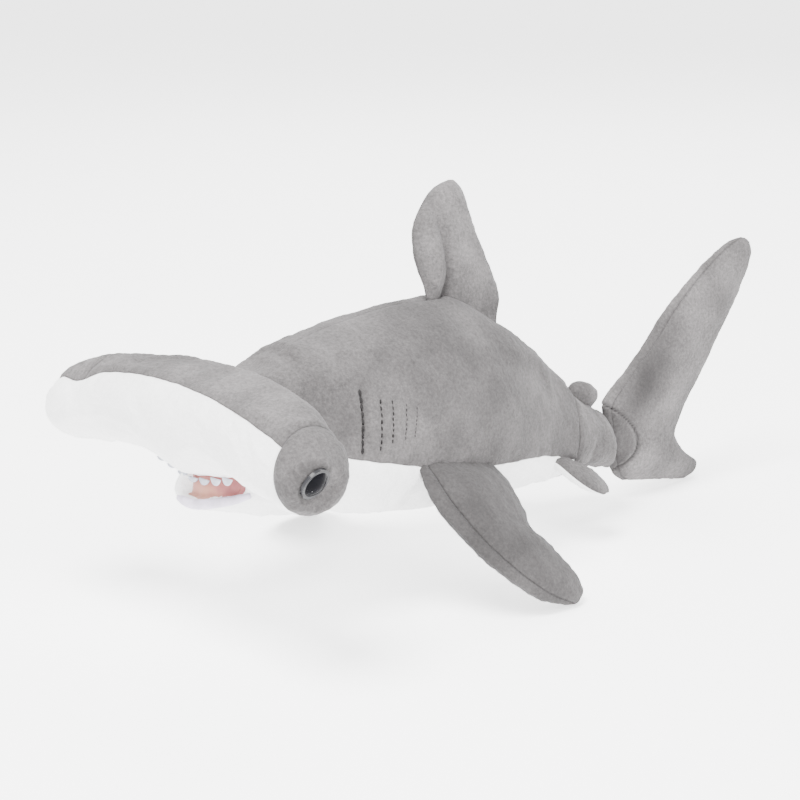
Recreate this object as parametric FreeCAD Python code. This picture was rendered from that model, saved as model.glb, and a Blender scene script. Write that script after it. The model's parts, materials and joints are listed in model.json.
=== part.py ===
"""Plush hammerhead shark: fabric covers, stuffing, eyes and sewn-on fins, one STEP per piece.

Millimetres. The pieces are modelled in the shark's own frame: nose towards -Y, left side
towards +X, belly near z = 0. The last step pitches the nose up, so that the shark stands on
its pectoral fins and its tail, and puts the origin under the middle of its box.
"""
import FreeCAD, Part
import json
import math
import os

V = FreeCAD.Vector
X_AXIS = V(1, 0, 0)

# ---- driving dimensions ----
NOSE_PITCH = 8.2          # degrees the nose is raised when the shark stands
COVER = 2.0               # pile fabric with its backing, on the body and the head
FIN_COVER = 1.6           # the same fabric pressed thinner on the fins
SLACK = 0.4               # free space between a cover and its stuffing
JOINT_GAP = 0.7           # free space between pieces that move against each other
SECTION_POINTS = 16       # points round one body section

# Body sections: y, half width, top, height of the widest point, bottom.
BODY_SECTIONS = [
    (25.0, 13.0, 24.0, 10.0, 3.0),
    (31.0, 22.0, 44.0, 16.0, 0.5),
    (42.0, 30.0, 62.0, 22.0, -1.0),
    (62.0, 39.0, 77.0, 27.0, -2.0),
    (100.0, 50.0, 90.5, 32.0, -3.0),
    (140.0, 53.0, 99.0, 34.0, -3.0),
    (165.0, 51.0, 100.5, 34.0, -2.0),
    (205.0, 42.0, 87.5, 30.0, 0.0),
    (240.0, 31.0, 65.0, 26.0, 2.0),
    (270.0, 22.5, 48.5, 24.0, 4.0),
    (303.0, 15.0, 35.0, 20.0, 6.0),
]
# Seam between the grey back and the white belly, seen from the side: y, height.
BELLY_SEAM = [(8.0, 64.0), (45.0, 42.0), (70.0, 33.0), (120.0, 28.0), (200.0, 26.0),
              (240.0, 19.0), (268.0, 10.5), (284.0, 7.0)]
SEAM_DEPTH = 70.0         # the seam cutter reaches this far below and ahead of the body

# Head: a soft bolster across the nose, drooping at both ends.
HEAD_HALF = 94.0
HEAD_Y, HEAD_Z = 20.0, 46.0
HEAD_DROOP, HEAD_SWEEP = 13.0, -6.0
HEAD_DEPTH, HEAD_DEPTH_END = 24.5, 18.5       # half depth, front to back
HEAD_THICK, HEAD_THICK_END = 24.0, 17.5       # half thickness, up and down
SNOUT_DROP, SNOUT_WIDTH = 6.0, 15.0           # how far and how wide the snout hangs lower
LIP_RISE, LIP_WIDTH = 0.085, 42.0             # share and width of the hollow above the mouth
HEAD_STATIONS = [0.0, 0.12, 0.25, 0.42, 0.62, 0.78, 0.88, 0.95, 0.99]
CAP_X = {"left": 78.0, "right": -60.0}        # seams of the end caps
# The white panel's upper edge: place across the head, degrees round the bolster from its front.
WHITE_TOP = [(-104.0, 46.0), (-86.0, 45.0), (-62.0, 27.0), (-52.0, 39.0), (-20.0, 42.0),
             (20.0, 39.0), (60.0, 34.0), (104.0, 31.0)]
WHITE_BOTTOM = -110.0                         # and its lower edge
HEAD_NOD = 8.0                                # degrees, each way

# Mouth and teeth.
MOUTH_HALF, MOUTH_DEPTH, MOUTH_HEIGHT = 19.0, 10.0, 9.5
MOUTH_Y, MOUTH_Z = 29.0, 7.5
TEETH, TOOTH_PITCH, TOOTH_WIDTH, TOOTH_LENGTH, TOOTH_THICK = 7, 7.8, 5.8, 3.4, 1.2
TOOTH_AHEAD, TOOTH_DROP = 3.0, 1.3            # ahead of the head's middle, and below its cover

# Eyes.
EYES = {"left": (V(92.1, 7.2, 35.0), V(0.90, 0.13, -0.42)),
        "right": (V(-92.2, 13.0, 32.0), V(-0.93, 0.12, -0.35))}
EYE_RADIUS, EYE_DOME, RIM_RADIUS, RIM_THICK = 6.1, 2.6, 7.5, 1.4
POST_RADIUS, POST_LENGTH = 1.6, 13.0
WASHER_RADIUS, WASHER_THICK, WASHER_DEPTH, WASHER_BORE_GAP = 6.5, 1.6, 10.8, 0.05

# Gill stitches.
GILLS, GILL_FIRST_Y, GILL_PITCH, GILL_SLANT = 5, 82.0, 7.2, 3.0
GILL_TOP, GILL_TOP_STEP, GILL_BOTTOM, GILL_BOTTOM_STEP = 60.0, -1.5, 32.5, 1.9
GILL_STITCHES, THREAD, THREAD_GAP = 4, 0.6, 0.35

# Tail.
STEM_HINGE_Y, STEM_BALL, STEM_RIM_AHEAD = 285.0, 17.0, 6.5
TAIL_HINGE_LOW, TAIL_HINGE_HIGH = V(0, 311, 3), V(0, 297.5, 38.5)
TAIL_ROOT_RADIUS = 7.5

# Fins: root line, tip, stations of (leading edge, trailing edge, half thickness) in the
# fin's own plane, as (along the root, out from the root), and the swing each way.
DORSAL_ROOT = (V(0, 155, 102), V(0, 207, 89.5))
DORSAL_TIP = V(-15, 178, 151)
DORSAL = [((0, -6), (53, -6), 4.5), ((-6, 8), (53, 9), 6.5), ((-12.5, 24), (46, 25), 7.5),
          ((-12, 39), (35, 39), 7.0), ((-5, 51), (26.5, 51), 5.5), ((5, 58.5), (19, 58.5), 3.0)]
DORSAL_SWING = 25.0
SECOND_ROOT = (V(0, 262, 53.5), V(0, 276.5, 46.5))
SECOND_TIP = V(0, 274, 62)
SECOND = [((0, -4), (15, -4), 2.2), ((1.5, 2), (17, 2), 3.2), ((5, 8), (20, 7), 3.0),
          ((9, 12), (19, 11), 1.8)]
SECOND_SWING = 20.0
PECTORAL_ROOT = (V(47, 120, 26), V(47, 185, 20))
PECTORAL_TIP = V(96, 172, -31)
PECTORAL = [((1, -7), (64, -7), 4.5), ((-2.5, 9), (63.5, 9), 7.5), ((-2.5, 22), (61.5, 22), 8.5),
            ((4.5, 37), (60, 35), 8.5), ((17, 53), (68.5, 49), 7.8), ((32, 66), (72, 60), 6.5),
            ((47, 72.5), (72, 67.5), 4.5), ((57, 74), (67, 72.5), 2.4)]
PECTORAL_UP, PECTORAL_DOWN = 30.0, 15.0
PELVIC_ROOT = (V(25, 232, 17), V(23, 256, 12.5))
PELVIC_TIP = V(38, 264, 2)
PELVIC = [((1, -5), (23, -5), 2.6), ((2, 4), (27, 3), 4.2), ((8, 12), (33, 9), 4.4),
          ((17, 19), (37, 15), 3.6), ((25, 23), (36, 20), 1.8)]
PELVIC_SWING = 18.0
# Tail fin stations: front point and rear point as (y, z), and half thickness.
TAIL = [((326, -2), (378, -5), 3.0), ((313, 4), (386, 1), 6.5), ((306, 20), (371, 10), 8.5),
        ((303, 36), (368, 19), 9.0), ((317, 57), (376, 36), 8.5), ((335, 77), (386, 57), 8.0),
        ((353, 94), (395, 75), 7.2), ((374, 113), (404, 96), 6.0), ((391, 127.5), (410.5, 112), 4.5),
        ((402, 132), (411.5, 123.5), 2.2)]

# Care label and pellet pouch.
LABEL_SIZE = (18.0, 9.0, 0.5)
LABEL_Y, LABEL_RISE = 212.0, -0.5
POUCH_CENTRE, POUCH_HALF = V(0, 212, 26), V(28, 46, 19)
POUCH_CLOTH = 0.8


# ---- helpers ----
def smooth(rows, y):
    """Every column of rows at y, by straight steps between the rows."""
    for low, high in zip(rows, rows[1:]):
        if y <= high[0]:
            break
    t = (y - low[0]) / (high[0] - low[0])
    return [a + (b - a) * t for a, b in zip(low[1:], high[1:])]


def closed_wire(points):
    curve = Part.BSplineCurve()
    curve.interpolate(points, PeriodicFlag=True)
    return Part.Wire(curve.toShape())


def power(value, exponent):
    return math.copysign(abs(value) ** exponent, value)


def body_section(y, half_width, top, widest, bottom, inset):
    """A rounded triangle: narrow along the spine, broad along the belly."""
    points = []
    for i in range(SECTION_POINTS):
        a = 2 * math.pi * i / SECTION_POINTS
        up = math.sin(a) >= 0
        shape = 2 / (1.8 if up else 2.2)
        rise = (top - widest if up else widest - bottom) - inset
        points.append(V((half_width - inset) * power(math.cos(a), shape), y,
                        widest + rise * power(math.sin(a), shape)))
    return closed_wire(points)


def body_solid(inset):
    """The whole body, made smaller all round by inset, or larger if inset is negative."""
    first, last = BODY_SECTIONS[0][0], BODY_SECTIONS[-1][0]
    wires = []
    for row in BODY_SECTIONS:
        y = row[0]
        if y in (first, last):
            y += inset if y == first else -inset
        wires.append(body_section(y, *row[1:], inset))
    return Part.makeLoft(wires, True)


def head_centre(x):
    t = abs(x) / HEAD_HALF
    return V(x, HEAD_Y + HEAD_SWEEP * t * t, HEAD_Z - HEAD_DROOP * t ** 2.2)


def head_radius(angle, depth, upper, lower):
    """Polar radius of the bolster's section: an ellipse above, a deeper one below."""
    rise = upper if math.sin(angle) >= 0 else lower
    return 1 / math.hypot(math.cos(angle) / depth, math.sin(angle) / rise)


def head_below(x, thick):
    """How far the bolster reaches below its middle: least over the mouth's corners."""
    hollow = LIP_RISE * math.exp(-(x / LIP_WIDTH) ** 4)
    return thick * (1 - hollow) + SNOUT_DROP * math.exp(-(x / SNOUT_WIDTH) ** 2)


def head_section(x, inset, nod=0.0):
    """One section of the bolster, or of the space it sweeps when it nods by nod degrees."""
    t = min(1.0, abs(x) / HEAD_HALF)
    depth = HEAD_DEPTH + (HEAD_DEPTH_END - HEAD_DEPTH) * t ** 3
    thick = HEAD_THICK + (HEAD_THICK_END - HEAD_THICK) * t ** 3
    from_end = HEAD_HALF - abs(x)
    if from_end < HEAD_THICK_END:
        rounding = (1 - (1 - from_end / HEAD_THICK_END) ** 2.6) ** (1 / 2.6)
        depth, thick = depth * rounding, thick * rounding
    lower = head_below(x, thick)
    centre = head_centre(x)
    points = []
    for i in range(SECTION_POINTS):
        a = 2 * math.pi * i / SECTION_POINTS
        turns = [a + math.radians(nod * k / 4) for k in range(-4, 5)]
        radius = max(head_radius(b, depth, thick, lower) for b in turns) - inset
        points.append(centre + V(0, radius * math.cos(a), radius * math.sin(a)))
    return closed_wire(points)


def head_solid(inset, nod=0.0):
    """The bolster, made smaller all round by inset."""
    shares = [-s for s in reversed(HEAD_STATIONS[1:])] + HEAD_STATIONS
    reach = 1 - inset / HEAD_HALF
    wires = []
    for share in shares:
        near_end = abs(share) >= HEAD_STATIONS[-3]
        wires.append(head_section(share * HEAD_HALF * (reach if near_end else 1.0), inset, nod))
    return Part.makeLoft(wires, True)


def prism_between(polygons):
    """A solid whose flat-sided section changes along X. Each polygon is a list of points."""
    wires = [Part.makePolygon(p + [p[0]]) for p in polygons]
    return Part.makeLoft(wires, True, True)


def half_oval_wire(front, rear, across, half_thick):
    """Half an oval: a curve from rear to front bulging towards across, closed by its chord."""
    centre, reach = (front + rear) * 0.5, (rear - front) * 0.5
    curve = Part.BSplineCurve()
    angles = [math.pi * i / 6 for i in range(7)]
    curve.interpolate([centre + reach * math.cos(a) + across * (half_thick * math.sin(a))
                       for a in angles])
    return Part.Wire([curve.toShape(), Part.makeLine(front, rear)])


class Fin:
    """A padded fin: two fabric panels that meet on its middle plane, round a stuffing."""

    def __init__(self, root, tip, stations):
        self.start = root[0]
        self.along = (root[1] - root[0]).normalize()
        out = tip - root[0]
        self.out = (out - self.along * out.dot(self.along)).normalize()
        self.normal = self.along.cross(self.out)
        self.stations = stations

    def point(self, place):
        return self.start + self.along * place[0] + self.out * place[1]

    def half(self, sign, inset):
        """The fin on one side of its middle plane; an inset one stops short of both ends."""
        wires = []
        for lead, trail, thick in (self.stations[1:-1] if inset else self.stations):
            front, rear = self.point(lead), self.point(trail)
            shorter = (rear - front).normalize() * inset * 1.5
            wires.append(half_oval_wire(front + shorter, rear - shorter, self.normal * sign,
                                        thick - inset))
        return Part.makeLoft(wires, True)


def half_space(point, normal):
    """A large box that ends on the plane through point and lies on the side of normal."""
    size = 600.0
    box = Part.makeBox(size, size, size, V(-size / 2, -size / 2, 0))
    box.Placement = FreeCAD.Placement(point, FreeCAD.Rotation(V(0, 0, 1), normal))
    return box


def turned(shape, point, axis, degrees):
    copy = shape.copy()
    copy.rotate(point, axis, degrees)
    return copy


def cleared(shape, obstacle, point, axis, low, high, steps=5):
    """Shape without what would meet obstacle while shape turns from low to high degrees."""
    for i in range(steps):
        angle = low + (high - low) * i / (steps - 1)
        shape = shape.cut(turned(obstacle, point, axis, -angle))
    return shape


def mirrored(shape):
    return shape.mirror(V(0, 0, 0), X_AXIS)


def biggest(shape):
    """The largest solid of a shape, without crumbs that a cut left behind."""
    return max(shape.Solids, key=lambda s: s.Volume)


def rod(start, end, radius):
    return Part.makeCylinder(radius, (end - start).Length, start, end - start)


# ---- body, belly and what is inside ----
def seam_cutter():
    """Everything below the belly seam, as a prism right across the body."""
    curve = Part.BSplineCurve()
    curve.interpolate([V(-SEAM_DEPTH, y, z) for y, z in BELLY_SEAM])
    first, last = BELLY_SEAM[0], BELLY_SEAM[-1]
    corners = [V(-SEAM_DEPTH, last[0], last[1]), V(-SEAM_DEPTH, last[0], -SEAM_DEPTH),
               V(-SEAM_DEPTH, first[0], -SEAM_DEPTH), V(-SEAM_DEPTH, first[0], first[1])]
    wire = Part.Wire([curve.toShape()] + Part.makePolygon(corners).Edges)
    return Part.Face(wire).extrude(V(2 * SEAM_DEPTH, 0, 0))


def head_sweep():
    """The space that the head needs while it nods."""
    return head_solid(-JOINT_GAP, HEAD_NOD + 1)


def tail_cup():
    """What the body leaves free for the round front of the tail stem."""
    cup = Part.makeCylinder(STEM_BALL + JOINT_GAP, 120, V(0, STEM_HINGE_Y, -40))
    return [cup, half_space(V(0, STEM_HINGE_Y - STEM_RIM_AHEAD, 0), V(0, 1, 0))]


def mouth_pocket(grow):
    """An oval pocket under the snout, open to the front."""
    centre = V(0, MOUTH_Y, MOUTH_Z)
    pocket = Part.makeSphere(1)
    matrix = FreeCAD.Matrix()
    matrix.scale(MOUTH_HALF + grow, MOUTH_DEPTH + grow, MOUTH_HEIGHT + grow)
    pocket = pocket.transformGeometry(matrix)
    pocket.translate(centre)
    return pocket.common(half_space(V(0, MOUTH_Y - 2 - grow, 0), V(0, 1, 0)))


def make_body(parts):
    free = [head_sweep()] + tail_cup()
    outer = body_solid(0).cut(free).cut(mouth_pocket(0.3))
    inner = body_solid(COVER)
    skin = outer.cut(inner)
    below = seam_cutter()
    back = skin.cut(below)
    left = half_space(V(0, 0, 0), X_AXIS)
    parts["back_cover_left"] = biggest(back.common(left))
    parts["back_cover_right"] = biggest(back.cut(left))
    parts["belly_cover"] = biggest(skin.common(below))
    stuffing = body_solid(COVER + SLACK).cut([s.copy() for s in free]).cut(mouth_pocket(0.6))
    pouch = pouch_solid(0)
    parts["body_stuffing"] = biggest(stuffing.cut(pouch_solid(-SLACK)))
    parts["pellet_pouch"] = pouch.cut(pouch_solid(POUCH_CLOTH))
    parts["pellets"] = pouch_solid(POUCH_CLOTH + SLACK)
    parts["mouth_lining"] = biggest(mouth_pocket(0).common(body_solid(1.2)).cut(head_sweep()))


def pouch_solid(inset):
    pouch = Part.makeSphere(1)
    matrix = FreeCAD.Matrix()
    matrix.scale(POUCH_HALF.x - inset, POUCH_HALF.y - inset, POUCH_HALF.z - inset)
    pouch = pouch.transformGeometry(matrix)
    pouch.translate(POUCH_CENTRE)
    return pouch


def side_point(body, side, y, z, proud):
    """The point on one side of the body at this y and height, a little proud of it."""
    across = body.common(Part.makeLine(V(0, y, z), V(side * 2 * SEAM_DEPTH, y, z))).BoundBox
    return V(side * (across.XLength + proud), y, z)


def make_gills(parts):
    """Five rows of sewn thread on each side, as one group of solids per side."""
    body = body_solid(0)
    for name, side in (("left", 1), ("right", -1)):
        rows = []
        for i in range(GILLS):
            y = GILL_FIRST_Y + GILL_PITCH * i
            low, high = GILL_BOTTOM + GILL_BOTTOM_STEP * i, GILL_TOP + GILL_TOP_STEP * i
            shares = [k / GILL_STITCHES for k in range(GILL_STITCHES + 1)]
            points = [side_point(body, side, y + GILL_SLANT * s, low + (high - low) * s,
                                 THREAD + THREAD_GAP) for s in shares]
            for start, end in zip(points, points[1:]):
                step = (end - start) * 0.09
                rows.append(rod(start + step, end - step, THREAD))
        parts["gill_stitches_" + name] = Part.Compound(rows)


# ---- head ----
def white_wedge():
    """The space in front of and under the bolster, where its panel is white."""
    polygons = []
    for x, top in WHITE_TOP:
        centre = head_centre(x)
        angles = [top, top - 45, top - 90, WHITE_BOTTOM]
        rim = [centre + V(0, -90 * math.cos(math.radians(a)), 90 * math.sin(math.radians(a)))
               for a in angles]
        polygons.append([centre] + rim)
    return prism_between(polygons)


def eye_frame(name):
    point, direction = EYES[name]
    return point, V(direction).normalize()


def eye_seat(name, grow):
    """The hole that the eye's post needs through cover and stuffing, and its rim's bed."""
    point, direction = eye_frame(name)
    post = rod(point + direction * 6, point - direction * (POST_LENGTH + 2 * grow),
               POST_RADIUS + grow)
    bed = rod(point - direction * grow, point + direction * 20, RIM_RADIUS + grow)
    return post.fuse(bed)


def washer_place(name):
    point, direction = eye_frame(name)
    return point - direction * WASHER_DEPTH, direction


def make_eyes(parts):
    for name in EYES:
        point, direction = eye_frame(name)
        base = point + direction * RIM_THICK
        radius = (EYE_RADIUS ** 2 + EYE_DOME ** 2) / (2 * EYE_DOME)
        ball = Part.makeSphere(radius)
        ball.translate(base + direction * (EYE_DOME - radius))
        dome = ball.common(half_space(base, direction))
        rim = rod(point, base, RIM_RADIUS)
        ring = rim.cut(rod(point + direction * 0.7, base + direction, EYE_RADIUS))
        pupil_bed = rod(point + direction * 0.7, base, EYE_RADIUS)
        post = rod(point, point - direction * POST_LENGTH, POST_RADIUS)
        parts["eye_rim_" + name] = ring.fuse(post).removeSplitter()
        parts["eye_dome_" + name] = pupil_bed.fuse(dome).removeSplitter()
        place, _ = washer_place(name)
        washer = rod(place, place - direction * WASHER_THICK, WASHER_RADIUS)
        bore = rod(place + direction, place - direction * 4, POST_RADIUS + WASHER_BORE_GAP)
        parts["eye_washer_" + name] = washer.cut(bore)


def make_head(parts):
    outer, inner = head_solid(0), head_solid(COVER)
    stuffing = head_solid(COVER + SLACK)
    for name in EYES:
        outer = outer.cut(eye_seat(name, 0.1))
        stuffing = stuffing.cut(eye_seat(name, 0.3))
        place, direction = washer_place(name)
        stuffing = stuffing.cut(rod(place + direction * 0.3, place - direction * (WASHER_THICK + 0.3),
                                    WASHER_RADIUS + 0.3))
    skin = outer.cut(inner)
    left = half_space(V(CAP_X["left"], 0, 0), X_AXIS)
    right = half_space(V(CAP_X["right"], 0, 0), X_AXIS * -1)
    wedge = white_wedge()
    parts["hammer_cap_left"] = biggest(skin.common(left))
    rest = skin.cut(left)
    parts["head_front_cover"] = biggest(rest.common(wedge))
    grey = rest.cut(wedge)
    parts["hammer_cap_right"] = biggest(grey.common(right))
    parts["head_top_cover"] = biggest(grey.cut(right))
    parts["head_stuffing"] = biggest(stuffing)


def make_teeth(parts):
    """A row of felt teeth under the snout's front edge."""
    teeth = []
    for i in range(TEETH):
        x = (i - (TEETH - 1) / 2) * TOOTH_PITCH
        lower = head_below(x, HEAD_THICK)
        y = HEAD_Y - TOOTH_AHEAD
        root = head_centre(x).z - lower * math.sqrt(1 - (TOOTH_AHEAD / HEAD_DEPTH) ** 2) - TOOTH_DROP
        corners = [V(x - TOOTH_WIDTH / 2, y, root), V(x + TOOTH_WIDTH / 2, y, root),
                   V(x, y, root - TOOTH_LENGTH)]
        face = Part.Face(Part.makePolygon(corners + corners[:1]))
        teeth.append(face.extrude(V(0, TOOTH_THICK, 0)))
    parts["upper_teeth"] = Part.Compound(teeth)


# ---- fins ----
def make_fin(parts, name, fin, body, low, high, panels):
    """Two panels and a stuffing, cut clear of the body over the fin's whole swing."""
    stuffing = []
    for suffix, sign in zip(panels, (1, -1)):
        panel = cleared(fin.half(sign, 0), body, fin.start, fin.along, low, high)
        parts[name + "_" + suffix] = biggest(panel.cut(fin.half(sign, FIN_COVER)))
        stuffing.append(cleared(fin.half(sign, FIN_COVER + SLACK), body, fin.start, fin.along,
                                low, high, 3))
    parts[name + "_stuffing"] = biggest(stuffing[0].fuse(stuffing[1]))


def tail_plane():
    """Across the stem's end: from its low point to its high point, and straight back."""
    up = (TAIL_HINGE_HIGH - TAIL_HINGE_LOW).normalize()
    return up, X_AXIS.cross(up) * -1


def stem_nose(inset):
    """What is cut off ahead of the stem's round front."""
    ball = Part.makeCylinder(STEM_BALL - inset, 120, V(0, STEM_HINGE_Y, -40))
    return half_space(V(0, STEM_HINGE_Y, 0), V(0, -1, 0)).cut(ball)


def make_stem(parts):
    """The narrow stem between the body and the tail fin, round where it meets both."""
    up, back = tail_plane()
    groove = rod(TAIL_HINGE_LOW - up * 40, TAIL_HINGE_HIGH + up * 40, TAIL_ROOT_RADIUS + JOINT_GAP)
    behind = half_space(TAIL_HINGE_LOW - back * 2.0, back)
    outer = biggest(stem_solid(0).cut([stem_nose(0), groove, behind]))
    cover_back = half_space(TAIL_HINGE_LOW - back * (TAIL_ROOT_RADIUS + JOINT_GAP + COVER), back)
    hollow = biggest(stem_solid(COVER).cut([stem_nose(COVER), cover_back]))
    parts["stem_cover"] = biggest(outer.cut(hollow))
    cover_back.translate(back * -SLACK)
    inset = COVER + SLACK
    parts["stem_stuffing"] = biggest(stem_solid(inset).cut([stem_nose(inset), cover_back]))


def stem_solid(inset):
    """The rear of the body's own loft, carried on a little past its last section."""
    wires = []
    for y in (255.0, 270.0, 285.0, 303.0):
        wires.append(body_section(y, *smooth(BODY_SECTIONS, y), inset))
    last = list(BODY_SECTIONS[-1][1:])
    wires.append(body_section(318.0, last[0] - 3, last[1] - 6, last[2] - 1, last[3] - 1, inset))
    return Part.makeLoft(wires, True)


def make_tail(parts):
    """The tail fin: its root is round about the seam that it swings on."""
    up, back = tail_plane()
    fin = Fin((V(0, 0, 0), V(0, 1, 0)), V(0, 0, 1), TAIL)
    root = rod(TAIL_HINGE_LOW + up * 2, TAIL_HINGE_HIGH - up, TAIL_ROOT_RADIUS)
    ahead = half_space(TAIL_HINGE_LOW, back * -1)
    hollow_end = half_space(TAIL_HINGE_LOW + back * 6, back * -1)
    stuffing_end = half_space(TAIL_HINGE_LOW + back * 6.5, back * -1)
    stuffing = []
    for name, sign in (("left", 1), ("right", -1)):
        half_root = root.common(half_space(V(0, 0, 0), X_AXIS * sign))
        panel = fin.half(sign, 0).cut(ahead).fuse(half_root)
        hollow = fin.half(sign, FIN_COVER).cut(hollow_end)
        parts["tail_fin_" + name + "_panel"] = biggest(panel.cut(hollow))
        stuffing.append(fin.half(sign, FIN_COVER + SLACK).cut(stuffing_end))
    parts["tail_fin_stuffing"] = biggest(stuffing[0].fuse(stuffing[1]))


def make_label(parts):
    """A blank woven label, sewn into the right side seam ahead of the tail."""
    length, height, thick = LABEL_SIZE
    low, high = smooth(BODY_SECTIONS, LABEL_Y - length / 2), smooth(BODY_SECTIONS, LABEL_Y + length / 2)
    slope = math.degrees(math.atan2(low[0] - high[0], length))
    label = Part.makeBox(height, length, thick, V(-height, -length / 2, 0))
    label.rotate(V(0, 0, 0), V(0, 0, 1), -slope)
    label.translate(V(-(low[0] + high[0]) / 2 - 0.3, LABEL_Y, low[2] + LABEL_RISE))
    parts["care_label"] = label


def make_all():
    parts = {}
    make_body(parts)
    make_gills(parts)
    make_head(parts)
    make_eyes(parts)
    make_teeth(parts)
    make_stem(parts)
    make_tail(parts)
    make_label(parts)
    grown = body_solid(-JOINT_GAP)
    sides, faces = ("left_panel", "right_panel"), ("lower_panel", "upper_panel")
    dorsal = Fin(DORSAL_ROOT, DORSAL_TIP, DORSAL)
    make_fin(parts, "dorsal_fin", dorsal, grown, -DORSAL_SWING, DORSAL_SWING, sides)
    second = Fin(SECOND_ROOT, SECOND_TIP, SECOND)
    make_fin(parts, "second_dorsal_fin", second, grown, -SECOND_SWING, SECOND_SWING, sides)
    fins = {}
    pectoral = Fin(PECTORAL_ROOT, PECTORAL_TIP, PECTORAL)
    make_fin(fins, "pectoral_fin", pectoral, grown, -PECTORAL_UP, PECTORAL_DOWN, faces)
    pelvic = Fin(PELVIC_ROOT, PELVIC_TIP, PELVIC)
    make_fin(fins, "pelvic_fin", pelvic, grown, -PELVIC_SWING, PELVIC_SWING, faces)
    for name, shape in fins.items():
        parts[name + "_left"] = shape
        parts[name + "_right"] = mirrored(shape)
    return parts


def joint_lines():
    """Where each joint turns: a point on its axis and the axis, in the shark's frame."""
    up, _ = tail_plane()
    lines = {"head_nod": (V(0, HEAD_Y, HEAD_Z), X_AXIS),
             "tail_swing": (V(0, STEM_HINGE_Y, 22), V(0, 0, 1)),
             "tail_fin_swing": (TAIL_HINGE_LOW, up)}
    for name, root in (("dorsal_fin_flop", DORSAL_ROOT), ("second_dorsal_flop", SECOND_ROOT),
                       ("pectoral_flap_left", PECTORAL_ROOT), ("pelvic_flap_left", PELVIC_ROOT)):
        lines[name] = (root[0], (root[1] - root[0]).normalize())
    for name in ("pectoral_flap", "pelvic_flap"):
        point, axis = lines[name + "_left"]
        lines[name + "_right"] = (V(-point.x, point.y, point.z), V(axis.x, -axis.y, -axis.z))
    return lines


def stand(parts):
    """Pitches every part nose up and moves the origin under the middle of the whole."""
    for name in parts:
        parts[name].rotate(V(0, 0, 0), X_AXIS, -NOSE_PITCH)
    box = FreeCAD.BoundBox()
    for shape in parts.values():
        box.add(shape.optimalBoundingBox(False))
    move = V(-box.Center.x, -box.Center.y, -box.ZMin)
    for name in parts:
        parts[name].translate(move)
    turn = FreeCAD.Placement(move, FreeCAD.Rotation(X_AXIS, -NOSE_PITCH))
    lines = {}
    for name, (point, axis) in joint_lines().items():
        spot, way = turn.multVec(point), turn.Rotation.multVec(axis)
        lines[name] = {"pos_m": [round(v / 1000, 6) for v in spot], "axis": [round(v, 6) for v in way]}
    print(json.dumps({"move": list(move), "size": [box.XLength, box.YLength, box.ZLength],
                      "joints": lines}))


def main():
    parts = make_all()
    stand(parts)
    os.makedirs("parts", exist_ok=True)
    for name, shape in parts.items():
        bad = [s for s in shape.Solids if not s.isValid() or s.Volume <= 0]
        if bad or not shape.Solids:
            print("not a clean solid:", name, len(shape.Solids))
        shape.exportStep("parts/" + name + ".step")
        print(name, len(shape.Solids), round(shape.Volume))


main()
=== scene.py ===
"""Looks of the plush hammerhead shark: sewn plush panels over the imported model.

Shapes are worked out in the shark's own frame, in millimetres, nose towards -Y and back
towards +Z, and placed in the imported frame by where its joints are.
"""
import json
import math
import bpy
import numpy as np
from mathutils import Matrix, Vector
from mathutils.bvhtree import BVHTree
from mathutils.kdtree import KDTree


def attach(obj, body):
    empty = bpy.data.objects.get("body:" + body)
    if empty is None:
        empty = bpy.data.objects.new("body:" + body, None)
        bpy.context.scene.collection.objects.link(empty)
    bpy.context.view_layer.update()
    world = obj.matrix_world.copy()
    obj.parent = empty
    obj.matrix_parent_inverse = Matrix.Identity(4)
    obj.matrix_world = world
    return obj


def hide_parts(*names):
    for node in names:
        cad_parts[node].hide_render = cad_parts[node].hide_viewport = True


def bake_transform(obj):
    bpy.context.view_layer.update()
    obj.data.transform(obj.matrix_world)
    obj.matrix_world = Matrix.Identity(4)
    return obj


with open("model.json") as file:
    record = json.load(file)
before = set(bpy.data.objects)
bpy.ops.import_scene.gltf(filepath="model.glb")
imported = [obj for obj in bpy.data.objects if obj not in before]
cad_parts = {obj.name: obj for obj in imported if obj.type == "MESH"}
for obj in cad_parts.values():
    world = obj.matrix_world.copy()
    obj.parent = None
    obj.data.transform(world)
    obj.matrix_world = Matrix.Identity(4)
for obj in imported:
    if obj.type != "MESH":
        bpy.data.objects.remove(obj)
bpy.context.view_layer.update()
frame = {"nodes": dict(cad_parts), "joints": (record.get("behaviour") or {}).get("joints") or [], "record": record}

MM = 0.001

# ---- the shark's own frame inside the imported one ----
JOINTS = {j["name"]: j for j in frame["joints"]}
ACROSS = np.array([1.0, 0.0, 0.0])
UP = np.array(JOINTS["tail_swing"]["axis"], float)
BACK = np.cross(UP, ACROSS)
HEAD_CENTRE = np.array([0.0, 20.0, 46.0])
AXES = np.array([ACROSS, BACK, UP])
ORIGIN = np.array(JOINTS["head_nod"]["pos_m"], float) - HEAD_CENTRE @ AXES * MM

# ---- body: y, half width, top, height of the widest point, bottom ----
BODY = np.array([
    (25.0, 15.5, 25.0, 10.0, 0.4), (31.0, 22.0, 44.0, 16.0, -0.8), (42.0, 30.0, 62.0, 22.0, -1.0),
    (62.0, 39.0, 77.0, 27.0, -2.0), (100.0, 50.0, 90.5, 32.0, -3.0), (140.0, 53.0, 99.0, 34.0, -3.0),
    (165.0, 51.0, 100.5, 34.0, -2.0), (205.0, 42.0, 87.5, 30.0, 0.0), (240.0, 31.0, 65.0, 26.0, 2.0),
    (270.0, 22.5, 48.5, 24.0, 4.0), (303.0, 15.0, 35.0, 20.0, 6.0), (318.0, 12.0, 29.0, 19.0, 5.0)])
POWER_UP, POWER_DOWN = 1.8, 2.2
BELLY_SEAM = np.array([(8.0, 64.0), (45.0, 42.0), (70.0, 32.5), (110.0, 27.0), (140.0, 23.0), (175.0, 23.2),
                       (205.0, 23.4), (232.0, 20.5), (252.0, 15.5), (320.0, 7.0)])
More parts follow.
